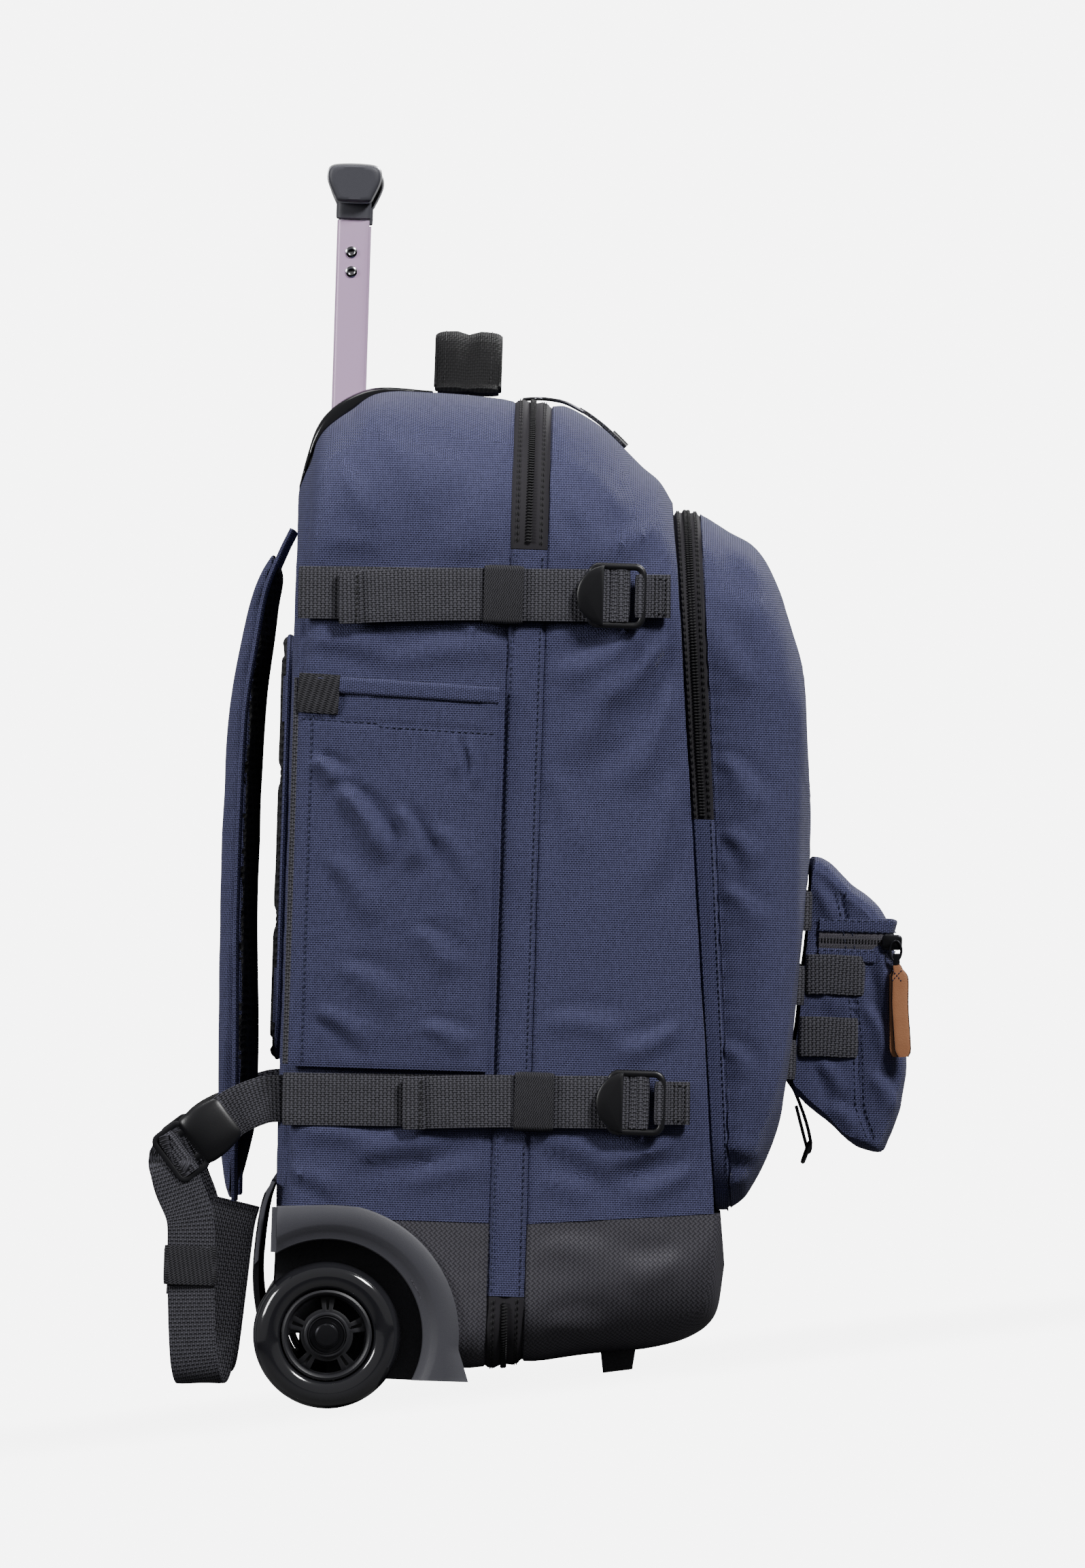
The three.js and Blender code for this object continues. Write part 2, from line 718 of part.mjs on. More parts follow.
// Feet: the sole lies flat on the ground once the bag leans
const baseUnder = (depth) => {
  const rows = [...frontRows(baseProud)].reverse();
  const next = rows.findIndex((row) => row.lowDepth >= depth);
  const [a, b] = [rows[next - 1], rows[next]];
  return mix(a.bottom, b.bottom, (depth - a.lowDepth) / (b.lowDepth - a.lowDepth));
};
const soleHeight = baseUnder(footPlace) - footTall;
const reach = Math.hypot(footPlace, tyreRadius - soleHeight);
const lean = Math.asin(tyreRadius / reach) - Math.atan2(tyreRadius - soleHeight, footPlace);
const groundAt = (depth) => tyreRadius - tyreRadius / Math.cos(lean) + depth * Math.tan(lean);
for (const [name, side] of sides) {
  const [rear, front] = [footPlace - footDeep / 2, footPlace + footDeep / 2];
  const foot = prism(
    [
      [rear, baseUnder(rear) - gap],
      [rear + 1.5, groundAt(rear + 1.5)],
      [front - 1.5, groundAt(front - 1.5)],
      [front, baseUnder(front) - gap],
    ],
    side * (footSpread - footWide / 2),
    side * (footSpread + footWide / 2),
  );
  add(`foot_${name}`, foot, 'moulded');
}

// Compression straps on both sides: webbing from the rear seam round the buckle's bar and back
const skinOut = halfWidth + gap;
const strapCentre = skinOut + webbing / 2;
const barRadius = 2;
const barOut = strapCentre + webbing / 2 + 2 * gap + barRadius;
const tailOut = barOut + barRadius + 2 * gap + webbing / 2;
function compressionStrap(name, side, height, buckleAt, tailEnd, keeperAt) {
  const bar = buckleAt - buckleLength / 2 + 12;
  const turnRadius = (tailOut - strapCentre) / 2;
  const rise = (depth) => height + strapRise * (depth + rearPlane);
  const row = (depth, out) => ({
    at: [side * out, depth, rise(depth)],
    wide: [0, 0, 1],
    width: strapWidth,
    thick: webbing,
  });
  const turn = [0.25, 0.5, 0.75].map((share) => {
    const angle = -Math.PI / 2 + share * Math.PI;
    return row(bar + turnRadius * Math.cos(angle), strapCentre + turnRadius * (1 + Math.sin(angle)));
  });
  const keeperOut = skinOut + 2 * webbing + 1.5;
  const strap = band([
    row(-rearPlane + 9, strapCentre),
    row(bar, strapCentre),
    ...turn,
    row(bar, tailOut),
    row(bar - 14, tailOut - 1),
    row(keeperAt + keeperWidth, strapCentre + webbing + 0.6),
    row(tailEnd, strapCentre + webbing + 1),
  ]);
  const keeper = block(
    [side * (skinOut + 0.2), side * keeperOut],
    [keeperAt - keeperWidth / 2, keeperAt + keeperWidth / 2],
    [rise(keeperAt) - strapWidth / 2 - 1.2, rise(keeperAt) + strapWidth / 2 + 1.2],
  );
  add(`strap_${name}`, strap.add(keeper), 'strap');

  const middle = rise(buckleAt);
  const rail = strapWidth / 2 + gap;
  const [rearEnd, frontEnd] = [buckleAt - buckleLength / 2, buckleAt + buckleLength / 2];
  const acrossRails = [middle - rail - 1, middle + rail + 1];
  const bars = [[bar - barRadius, bar + 0.6], [frontEnd - 2 * barRadius, frontEnd]].map((depths) =>
    block([side * (barOut - barRadius), side * (barOut + barRadius)], depths, acrossRails),
  );
  const rails = [-1, 1].map((end) =>
    block([side * (barOut - barRadius), side * (barOut + barRadius)], [bar - barRadius, frontEnd],
      [middle + end * rail, middle + end * (rail + buckleRail)].sort((a, b) => a - b)),
  );
  const thumbOut = tailOut + webbing / 2 + gap;
  const thumb = prism(
    [[bar + 3, middle - rail - 2.5], ...arc(rail + 2.5, Math.PI * 1.42, Math.PI * 0.58, 6, bar + 2, middle),
      [bar + 3, middle + rail + 2.5]],
    side * thumbOut,
    side * (thumbOut + 2.2),
  );
  const posts = [-1, 1].map((end) =>
    block([side * (barOut - barRadius), side * (thumbOut + 1)], [bar - barRadius, bar + 3],
      [middle + end * rail, middle + end * (rail + 2)].sort((a, b) => a - b)),
  );
  add(`buckle_${name}`, joined([...bars, ...rails, thumb, ...posts]), 'gloss');

  const last = frontEnd - barRadius;
  const loopRadius = barRadius + gap + webbing / 2 + 0.9;
  const anchorRow = (depth, out) => ({
    at: [side * out, depth, rise(depth)],
    wide: [0, 0, 1],
    width: strapWidth - 5,
    thick: webbing,
  });
  const wrap = [1.5, 1.25, 1, 0.75, 0.5].map((share) => {
    const angle = Math.PI * share;
    return anchorRow(last + loopRadius * Math.cos(angle), barOut + loopRadius * Math.sin(angle));
  });
  const anchorOut = skinOut + webbing / 2;
  wrap[0].at[0] = side * anchorOut;
  const anchor = band([
    anchorRow(last + anchorLength, anchorOut),
    ...wrap,
    anchorRow(last + loopRadius + 6, anchorOut + webbing + 1.4),
    anchorRow(last + anchorLength - 1, anchorOut + webbing + gap),
  ]);
  add(`anchor_${name}`, anchor, 'strap');
}
for (const [name, side] of sides) {
  compressionStrap(`upper_${name}`, side, upperStrapHeight, upperBuckleDepth - 3, 1, 83);
  compressionStrap(`lower_${name}`, side, lowerStrapHeight, lowerBuckleDepth, 43, 108);
}

// Side pockets: an open-topped panel that stands off the side of the bag
for (const [name, side] of sides) {
  const across = 8;
  const up = 6;
  const sheet = (lift) =>
    Array.from({ length: up + 1 }, (_, j) => {
      const v = j / up;
      return Array.from({ length: across + 1 }, (_, i) => {
        const u = i / across;
        const rise = 0.25 + 0.75 * Math.sin((Math.PI / 2) * Math.min(1, v * 1.6));
        const swell = Math.sin(Math.PI * u) ** 0.7 * rise;
        const out = skinOut + lift + sidePocketBulge * swell;
        const height = mix(sidePocketLow, sidePocketTop, v) + (j === up ? -4 * u : 0);
        return place(side * out, mix(sidePocketRear, sidePocketFront, u), height);
      });
    });
  const [under, over] = [sheet(0), sheet(cloth)];
  const rings = under.map((row, j) => [...row, ...[...over[j]].reverse()]);
  add(`side_pocket_${name}`, skin(rings, { folded: true }), 'navy');
}

// Padded mesh panel on the back
const padRing = (inset, depth) => {
  const corner = shoulderWidth * 0.36;
  return sectionRing({
    half: backPadHalf - inset,
    bottom: backPadLow + inset,
    top: backPadTop - inset,
    lowCorner: corner,
    highCorner: corner,
    lowDepth: depth,
    highDepth: depth,
  });
};
const padFace = -rearPlane - gap;
add(
  'back_pad',
  skin([padRing(0, padFace), padRing(0, padFace - backPadThick / 2), padRing(5, padFace - backPadThick)]),
  'mesh',
);

// Grab handle on the top
const grabRows = columns('across up thick', [
  [-1, 0, 0.4],
  [-0.86, 0.12, 0.5],
  [-0.72, 0.46, 0.8],
  [-0.5, 0.8, 1],
  [-0.25, 0.88, 1],
  [0, 0.9, 1],
  [0.25, 0.88, 1],
  [0.5, 0.8, 1],
  [0.72, 0.46, 0.8],
  [0.86, 0.12, 0.5],
  [1, 0, 0.4],
]).map((row) => ({
  at: [row.across * grabHalf, grabPlace, bodyTop + gap + 1.5 + row.up * grabRise],
  wide: [0, 1, 0],
  width: grabWidth,
  thick: row.thick * grabThick,
  soft: 0.9,
}));
add('grab_handle', band(grabRows), 'strap');

// Shoulder straps, and the webbing that ties them to the lower corners of the bag
const shoulderRows = columns('side off height width thick', [
  [0.62, 0.15, 0.862, 0.85, 0.3],
  [0.62, 0.5, 0.838, 0.9, 0.45],
  [0.66, 0.95, 0.8, 0.95, 0.65],
  [0.72, 1.22, 0.745, 1, 0.85],
  [0.78, 1.46, 0.685, 1.05, 0.95],
  [0.86, 1.53, 0.61, 1.06, 0.95],
  [0.93, 1.55, 0.54, 1.04, 0.95],
  [1, 1.53, 0.465, 1, 0.95],
  [1.07, 1.46, 0.39, 0.94, 1],
  [1.13, 1.4, 0.32, 0.86, 1],
  [1.17, 1.36, 0.26, 0.76, 0.85],
  [1.2, 1.32, 0.2, 0.6, 0.45],
]);
for (const [name, side] of sides) {
  const rows = shoulderRows.map((row) => ({
    at: [
      side * row.side * shoulderSpread,
      -rearPlane - gap - row.off * shoulderThick,
      row.height * bodyTop,
    ],
    wide: [1, 0, 0],
    width: row.width * shoulderWidth,
    thick: row.thick * shoulderThick,
    soft: 0.8,
  }));
  add(`shoulder_strap_${name}`, band(rows), 'navy');
}

// Pouch on the front, held by rows of webbing
const rowDepth = (height) => domeAt(height) + gap + webbing / 2;
const rowHeights = [0.823, 0.31].map((share) => pouchLow + share * pouchTall);
for (const [i, height] of rowHeights.entries()) {
  const tilt = (domeAt(height + rowWide / 2) - domeAt(height - rowWide / 2)) / rowWide;
  const row = (across) => ({
    at: [across * rowHalf, rowDepth(height) + 0.4, height],
    wide: [0, tilt, 1],
    width: rowWide,
    thick: webbing,
  });
  add(`row_band_${i + 1}`, band([row(-1), row(1)]), 'strap');
}
const pouchBack = (height) => rowDepth(height) + webbing / 2 + gap + 0.9;
const pouchOutline = columns('depth height', [
  [0, 1],
  [0.1, 0.995],
  [0.23, 0.955],
  [0.36, 0.91],
  [0.5, 0.875],
  [0.64, 0.825],
  [0.76, 0.73],
  [0.86, 0.575],
  [0.92, 0.46],
  [1, 0.3],
  [0.985, 0.2],
  [0.95, 0.12],
  [0.88, 0.04],
  [0.82, 0],
  [0.65, 0.01],
  [0.53, 0.035],
  [0.38, 0.09],
  [0.24, 0.13],
  [0.1, 0.175],
  [0, 0.24],
  [0, 0.56],
  [0, 0.88],
]);
const pouchRing = (across, size, inset) => {
  const middle = pouchLow + pouchTall / 2;
  const points = pouchOutline.map((row) => {
    const height = middle + (row.height - 0.5) * pouchTall * mix(1, size, 0.6);
    const back = pouchBack(Math.max(height, pouchLow + 0.24 * pouchTall));
    return new THREE.Vector2(back + row.depth * pouchDepth * size, height);
  });
  return points.map((p, i) => {
    const before = points[(i - 1 + points.length) % points.length];
    const after = points[(i + 1) % points.length];
    const run = after.clone().sub(before).normalize();
    return place(across, p.x + run.y * inset, p.y - run.x * inset);
  });
};
const pouchEnds = columns('across size', [
  [-1, 0.86],
  [-0.96, 0.95],
  [-0.85, 1],
  [0.85, 1],
  [0.96, 0.95],
  [1, 0.86],
]);
const pouchOuter = skin(pouchEnds.map((row) => pouchRing(row.across * pouchHalf, row.size, 0)));
const pouchInner = skin(pouchEnds.map((row) => pouchRing(row.across * (pouchHalf - cloth), row.size, cloth)));
const pouchWall = pouchOuter.subtract(pouchInner);
const zipSlab = (spare) =>
  block(
    [-far, far],
    [pouchBack(pouchZipHeight) + pouchDepth * 0.3 + spare, far],
    [pouchZipHeight - pouchZipWide / 2 + spare, pouchZipHeight + pouchZipWide / 2 - spare],
  );
add('pouch', pouchWall.subtract(zipSlab(0)), 'navy');
add('pouch_zip', pouchWall.intersect(zipSlab(gap)), 'zip');
const pullDepth = pouchBack(pouchZipHeight) + pouchDepth * 0.8;
const pullSide = -(pouchHalf + gap * 1.3 + pouchPullThick / 2);
const pull = band(
  columns('depth height width', [
    [-0.02, 0, 0.5],
    [0, -0.12, 0.5],
    [0.02, -0.2, 1],
    [0.04, -0.6, 1],
    [0.03, -1, 0.9],
  ]).map((row) => ({
    at: [pullSide, pullDepth + row.depth * pouchDepth, pouchZipHeight + row.height * pouchPullLength],
    wide: [0, 1, 0],
    width: row.width * pouchPullWidth,
    thick: pouchPullThick,
  })),
);
add('pouch_pull', pull, 'leather');
const ringTab = band(
  columns('depth height', [
    [0.02, 0.265],
    [0.1, 0.215],
    [0.2, 0.12],
    [0.27, 0.03],
  ]).map((row) => ({
    at: [
      0,
      rowDepth(rowHeights[1] - rowWide / 2) + row.depth * pouchDepth - 1.2,
      pouchLow + row.height * pouchTall - 4,
    ],
    wide: [1, 0, 0],
    width: ringTabWidth,
    thick: webbing,
  })),
);
add('ring_tab', ringTab, 'strap');

// Pull of the main zip, lying forward over the top
const topAt = (depth) => {
  const rows = [rearRows.at(-1), ...[...frontRows(0)].reverse()];
  const next = rows.findIndex((row) => row.highDepth > depth);
  const [a, b] = [rows[next - 1], rows[next]];
  return mix(a.top, b.top, (depth - a.highDepth) / (b.highDepth - a.highDepth));
};
const zipPull = band(
  columns('run width', [
    [0.16, 1],
    [0.34, 1],
    [0.58, 0.67],
    [0.79, 0.67],
    [1, 0.67],
  ]).map((row) => {
    const depth = rearRows.at(-1).lowDepth + row.run * zipPullLength;
    return {
      at: [-zipPullPlace, depth, topAt(depth) + zipPullThick / 2 + 2 * gap],
      wide: [1, 0, 0],
      width: row.width * zipPullWidth,
      thick: zipPullThick,
    };
  }),
);
add('zip_pull', zipPull, 'steel');

// Buckles behind the lower corners: webbing stub, socket, plug and hanging tail loop
const stubRows = columns('side depth drop turned', [
  [0.156, 0, 0, 0],
  [0.096, -0.32, -0.04, -0.1],
  [0, -0.72, -0.2, -0.4],
  [-0.12, -1, -0.36, -0.7],
]);
const stubEnd = stubRows.at(-1);
const socketSlope = new THREE.Vector2(-0.78, -0.62).normalize();
for (const [name, side] of sides) {
  const corner = rearRows[0].half;
  const stub = band(
    stubRows.map((row) => ({
      at: [
        side * (corner + row.side * stubLength),
        -rearPlane + row.depth * stubLength,
        lowerStrapHeight + row.drop * stubLength,
      ],
      wide: [0, row.turned, 1],
      width: tailWidth,
      thick: webbing,
    })),
  );
  add(`stub_${name}`, stub, 'strap');
  const spot = (run, out) => [
    side * out,
    -rearPlane + stubEnd.depth * stubLength + socketSlope.x * run,
    lowerStrapHeight + stubEnd.drop * stubLength + socketSlope.y * run,
  ];
  const wide = [0, socketSlope.y, -socketSlope.x];
  const clasp = (rows, length, start, out, soft) =>
    band(
      rows.map((row) => ({
        at: spot(start + row.run * length, out),
        wide,
        width: row.width * tailWidth,
        thick: row.thick * tailWidth,
        soft,
      })),
    );
  const socketRows = columns('run width thick', [
    [0, 1, 0.28],
    [0.24, 1.2, 0.4],
    [0.6, 1.24, 0.44],
    [1, 1.2, 0.36],
  ]);
  const socketStart = 2.2;
  const out = corner + stubEnd.side * stubLength - 1;
  add(`buckle_socket_${name}`, clasp(socketRows, socketLength - socketStart, socketStart, out, 0.7), 'gloss');
  const plugRows = columns('run width thick', [
    [0, 0.96, 0.2],
    [0.3, 1.04, 0.24],
    [0.68, 1.12, 0.24],
    [1, 1, 0.2],
  ]);
  add(`buckle_plug_${name}`, clasp(plugRows, plugLength, socketLength + gap, out, 0.5), 'gloss');
  const plugEnd = spot(socketLength + gap + plugLength, out);
  const loopRows = columns('in forward down', [
    [0, 0.335, 0.086],
    [0.026, 0.364, 0.26],
    [0.077, 0.393, 0.47],
    [0.128, 0.436, 0.723],
    [0.18, 0.48, 0.89],
    [0.28, 0.538, 0.975],
    [0.46, 0.595, 1],
    [0.64, 0.682, 0.966],
    [0.74, 0.74, 0.866],
    [0.85, 0.827, 0.597],
    [0.92, 0.913, 0.328],
    [1, 1, 0.21],
  ]).map((row) => ({
    at: [
      plugEnd[0] - side * row.in * loopSide,
      plugEnd[1] + row.forward * loopDepth,
      plugEnd[2] - row.down * loopDrop,
    ],
    wide: [0.05 * side, 1, 0.06],
    width: tailWidth,
    thick: webbing,
  }));
  const held = loopRows[2].at;
  const keeper = block(
    [held[0] - 2, held[0] + 2],
    [held[1] - tailWidth / 2 - 1.5, held[1] + tailWidth / 2 + 1.5],
    [held[2] - keeperWidth / 2, held[2] + keeperWidth / 2],
  );
  add(`tail_loop_${name}`, band(loopRows).add(keeper), 'strap');
}

// The bag leans forward about its axle; the origin is under the middle of its footprint
const upright = new THREE.Group();
upright.add(...root.children);
upright.position.set(0, 0, -tyreRadius);
const leaning = new THREE.Group();
leaning.add(upright);
leaning.rotation.x = lean;
leaning.position.set(0, footprintMiddle, tyreRadius);
const backpack = new THREE.Group();
backpack.add(leaning);

export default backpack;
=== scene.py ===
# Wheeled backpack: cloth, webbing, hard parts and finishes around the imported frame.
import json
import math

import bmesh
import bpy
import numpy as np
from mathutils import Matrix, Vector, noise


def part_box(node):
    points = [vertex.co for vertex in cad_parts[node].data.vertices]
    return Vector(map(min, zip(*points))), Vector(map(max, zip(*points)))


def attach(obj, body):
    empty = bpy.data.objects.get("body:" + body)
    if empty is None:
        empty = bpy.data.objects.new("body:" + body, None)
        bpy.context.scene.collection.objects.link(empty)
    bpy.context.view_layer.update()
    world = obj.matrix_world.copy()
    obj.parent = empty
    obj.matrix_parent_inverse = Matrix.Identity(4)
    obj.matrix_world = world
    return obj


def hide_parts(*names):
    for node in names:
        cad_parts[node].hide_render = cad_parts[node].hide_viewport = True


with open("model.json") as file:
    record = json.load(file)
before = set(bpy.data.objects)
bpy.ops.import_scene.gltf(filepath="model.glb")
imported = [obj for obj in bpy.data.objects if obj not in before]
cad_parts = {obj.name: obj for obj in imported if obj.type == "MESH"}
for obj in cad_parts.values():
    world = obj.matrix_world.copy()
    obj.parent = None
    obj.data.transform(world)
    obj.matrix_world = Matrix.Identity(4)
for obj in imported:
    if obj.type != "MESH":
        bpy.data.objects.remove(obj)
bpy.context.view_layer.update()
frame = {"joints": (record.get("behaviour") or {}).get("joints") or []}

collection = bpy.context.scene.collection
mm = 0.001

# The bag's own frame: side, depth forward of the axle and height in millimetres, before it leans
slideAxis = next(j for j in frame["joints"] if j["name"] == "handle_slide")["axis"]
lean = math.atan2(-slideAxis[1], slideAxis[2])
tyreLow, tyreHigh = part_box("tyre_left")
axle = {
    "y": (tyreLow.y + tyreHigh.y) / 2,
    "z": (tyreLow.z + tyreHigh.z) / 2,
    "radius": (tyreHigh.z - tyreLow.z) / 2 / mm,
}


def toRow(points):
    # bag frame in millimetres to the shared frame in metres
    p = np.asarray(points, float).reshape(-1, 3)
    d, h = p[:, 1], p[:, 2] - axle["radius"]
    forward = d * math.cos(lean) + h * math.sin(lean)
    up = h * math.cos(lean) - d * math.sin(lean)
    return np.stack([p[:, 0] * mm, axle["y"] - forward * mm, axle["z"] + up * mm], 1)


def mix(a, b, t):
    return a + (b - a) * t


def hill(x, width):
    return np.exp(-(x / width) ** 2)


def smooth(edge0, edge1, x):
    t = np.clip((np.asarray(x, float) - edge0) / (edge1 - edge0), 0, 1)
    return t * t * (3 - 2 * t)


# Materials

def feed(tree, node, inputs):
    # each input takes a link from another node, or a value
    for key, value in inputs.items():
        socket = node.inputs[key]
        if isinstance(value, bpy.types.NodeSocket):
            tree.links.new(value, socket)
        else:
            socket.default_value = value
    return node


def addNode(tree, kind, inputs=None, **settings):
    node = tree.nodes.new(kind)
    for key, value in settings.items():
        setattr(node, key, value)
    return feed(tree, node, inputs or {})


def calc(tree, operation, a, b=0.0, c=0.0):
    return addNode(tree, "ShaderNodeMath", {0: a, 1: b, 2: c}, operation=operation).outputs[0]


def blendColour(tree, factor, a, b):
    node = addNode(tree, "ShaderNodeMix", {0: factor, 6: a, 7: b}, data_type="RGBA")
    return node.outputs[2]


def newMaterial(name):
    material = bpy.data.materials.new(name)
    material.use_nodes = True
    tree = material.node_tree
    tree.nodes.clear()
    output = addNode(tree, "ShaderNodeOutputMaterial")
    shader = addNode(tree, "ShaderNodeBsdfPrincipled")
    tree.links.new(shader.outputs[0], output.inputs[0])
    return material, tree, shader


def rgb(hexCode):
    values = [int(hexCode[i:i + 2], 16) / 255 for i in (0, 2, 4)]
    return [v / 12.92 if v <= 0.04045 else ((v + 0.055) / 1.055) ** 2.4 for v in values] + [1]


def bumpOn(tree, shader, height, strength, distance):
    node = addNode(tree, "ShaderNodeBump", {"Strength": strength, "Distance": distance, "Height": height})
    tree.links.new(node.outputs[0], shader.inputs["Normal"])


def uvParts(tree, pitchU, pitchV, turn=0.0):
    # the piece's own UV is in metres along the cloth; one unit out is one thread
    uv = addNode(tree, "ShaderNodeUVMap", uv_map="cloth").outputs[0]
    turned = addNode(tree, "ShaderNodeMapping", {"Vector": uv, "Rotation": (0, 0, turn),
        "Scale": (1 / pitchU, 1 / pitchV, 1)}).outputs[0]
    split = addNode(tree, "ShaderNodeSeparateXYZ", {0: turned})
    return split.outputs[0], split.outputs[1], turned


def wovenMaterial(name, look):
    # plain weave: two sets of round threads that pass over each other in turn
    material, tree, shader = newMaterial(name)
    u, v, turned = uvParts(tree, look["pitchU"], look["pitchV"], look.get("turn", 0.0))
    parity = calc(tree, "MODULO", calc(tree, "ADD", calc(tree, "FLOOR", u), calc(tree, "FLOOR", v)), 2.0)
    over = calc(tree, "ABSOLUTE", parity)
    threadU = calc(tree, "ABSOLUTE", calc(tree, "SINE", calc(tree, "MULTIPLY", u, math.pi)))
    threadV = calc(tree, "ABSOLUTE", calc(tree, "SINE", calc(tree, "MULTIPLY", v, math.pi)))
    warp = calc(tree, "MULTIPLY", threadU, calc(tree, "MULTIPLY_ADD", over, 0.6, 0.4))
    weft = calc(tree, "MULTIPLY", threadV, calc(tree, "MULTIPLY_ADD", over, -0.6, 1.0))
    height = calc(tree, "MAXIMUM", warp, weft)
    place = addNode(tree, "ShaderNodeTexCoord").outputs["Object"]
    cloud = addNode(tree, "ShaderNodeTexNoise", {"Vector": place, "Scale": 14.0, "Detail": 3.0}).outputs[0]
    slub = addNode(tree, "ShaderNodeTexNoise", {"Vector": turned, "Scale": 0.35, "Detail": 1.0}).outputs[0]
    # thread crowns get the light colour and the gaps between threads the deep one: painted shade between the
    # threads
    shade = calc(tree, "POWER", height, 2.2)
    tone = calc(tree, "MULTIPLY_ADD", calc(tree, "SUBTRACT", slub, 0.5), look.get("slub", 0.35), shade)
    colour = blendColour(tree, calc(tree, "MINIMUM", calc(tree, "MAXIMUM", tone, 0.0), 1.0), look["deep"],
        look["light"])
    worn = blendColour(tree, calc(tree, "MULTIPLY", cloud, 0.3), colour, look["cast"])
    feed(tree, shader, {"Base Color": worn, "Roughness": calc(tree, "MULTIPLY_ADD", cloud, 0.1,
        look["rough"]), "Sheen Weight": look.get("sheen", 0.0), "Sheen Roughness": 0.4,
        "Specular IOR Level": 0.3})
    bumpOn(tree, shader, calc(tree, "ADD", height, calc(tree, "MULTIPLY", cloud, 0.4)),
        look.get("strength", 0.6), look["depth"])
    return material


def meshMaterial(name, look):
    # spacer mesh: rows of round holes with raised threads between them; the holes are painted near black, as
    # painted shade inside them
    material, tree, shader = newMaterial(name)
    uv = addNode(tree, "ShaderNodeUVMap", uv_map="cloth").outputs[0]
    cells = addNode(tree, "ShaderNodeTexVoronoi", {"Vector": uv, "Scale": 1 / look["pitch"],
        "Randomness": 0.25})
    rim = addNode(tree, "ShaderNodeMapRange", {0: cells.outputs["Distance"], 1: 0.25, 2: 0.5, 3: 0.0,
        4: 1.0})
    # the hole colour fills the cell middles: painted shade in the holes
    colour = blendColour(tree, rim.outputs[0], look["hole"], look["thread"])
    feed(tree, shader, {"Base Color": colour, "Roughness": 0.9})
    bumpOn(tree, shader, rim.outputs[0], 1.0, 0.0012)
    return material


def mouldedMaterial(name, look):
    # moulded plastic or rubber with a fine grain, paler on its sharp outward edges
    material, tree, shader = newMaterial(name)
    place = addNode(tree, "ShaderNodeTexCoord").outputs["Object"]
    grain = addNode(tree, "ShaderNodeTexNoise", {"Vector": place, "Scale": look["grain"],
        "Detail": 4.0}).outputs[0]
    cloud = addNode(tree, "ShaderNodeTexNoise", {"Vector": place, "Scale": 22.0, "Detail": 3.0}).outputs[0]
    edge = addNode(tree, "ShaderNodeNewGeometry").outputs["Pointiness"]
    # sharp outward edges take the pale colour
    paleEdges = addNode(tree, "ShaderNodeMapRange", {0: edge, 1: 0.53, 2: 0.62, 3: 0.0,
        4: look.get("edgePale", 0.3)})
    colour = blendColour(tree, paleEdges.outputs[0], look["colour"], look["pale"])
    rough = calc(tree, "MULTIPLY_ADD", calc(tree, "SUBTRACT", cloud, 0.5), 0.16, look["rough"])
    feed(tree, shader, {"Base Color": colour, "Roughness": rough, "Metallic": look.get("metal", 0.0),
        "Coat Weight": look.get("coat", 0.0), "Coat Roughness": 0.06,
        "Specular IOR Level": look.get("specular", 0.5)})
    bumpOn(tree, shader, grain, look.get("strength", 0.3), look["depth"])
    return material


def leatherMaterial(name, look):
    material, tree, shader = newMaterial(name)
    place = addNode(tree, "ShaderNodeTexCoord").outputs["Object"]
    cells = addNode(tree, "ShaderNodeTexVoronoi", {"Vector": place, "Scale": 1500.0}).outputs["Distance"]
    cloud = addNode(tree, "ShaderNodeTexNoise", {"Vector": place, "Scale": 90.0, "Detail": 4.0}).outputs[0]
    colour = blendColour(tree, cloud, look["deep"], look["light"])
    feed(tree, shader, {"Base Color": colour, "Roughness": 0.5})
    bumpOn(tree, shader, cells, 0.3, 0.0002)
    return material


navyLook = {"pitchU": 0.0009, "pitchV": 0.0012, "deep": rgb("16172c"), "light": rgb("62648e"),
    "cast": rgb("3c3d5c"), "rough": 0.72, "depth": 0.0005, "strength": 0.9, "sheen": 0.1}
coatedLook = {"pitchU": 0.0019, "pitchV": 0.0019, "turn": math.pi / 4, "deep": rgb("302f34"),
    "light": rgb("5a5860"), "cast": rgb("45444b"), "rough": 0.5, "depth": 0.0003, "slub": 0.2}
webbingLook = {"pitchU": 0.0012, "pitchV": 0.0021, "deep": rgb("19191c"), "light": rgb("5e5d66"),
    "cast": rgb("37373c"), "rough": 0.66, "depth": 0.0005, "strength": 0.9}
elasticLook = {"pitchU": 0.0009, "pitchV": 0.0026, "turn": 0.7, "deep": rgb("121214"),
    "light": rgb("48474d"), "cast": rgb("2a2a2e"), "rough": 0.75, "depth": 0.0004, "strength": 0.9}
tapeLook = {"pitchU": 0.0009, "pitchV": 0.0009, "deep": rgb("262428"), "light": rgb("67646d"),
    "cast": rgb("403e44"), "rough": 0.72, "depth": 0.00025, "strength": 0.7}
navy = wovenMaterial("navy cloth", navyLook)
coated = wovenMaterial("coated base cloth", coatedLook)
webbing = wovenMaterial("ribbed webbing", webbingLook)
elastic = wovenMaterial("twill elastic", elasticLook)
padCloth = wovenMaterial("black pad cloth", {**webbingLook, "deep": rgb("060607"), "light": rgb("18181a"),
    "cast": rgb("0c0c0d")})
tape = wovenMaterial("zip tape", tapeLook)
# its hole colour is painted shade in the mesh's holes
spacer = meshMaterial("spacer mesh", {"pitch": 0.0042, "hole": rgb("060607"), "thread": rgb("26262a")})
housing = mouldedMaterial("housing plastic", {"grain": 2600.0, "colour": rgb("48484f"),
    "pale": rgb("6a6a70"), "rough": 0.52, "depth": 0.0002, "strength": 0.35})
buckle = mouldedMaterial("buckle plastic", {"grain": 3000.0, "colour": rgb("17171a"), "pale": rgb("3c3c42"),
    "rough": 0.38, "depth": 0.0001})
gloss = mouldedMaterial("gloss plastic", {"grain": 1200.0, "colour": rgb("151518"), "pale": rgb("3a3a40"),
    "rough": 0.2, "depth": 0.00005, "coat": 0.3})
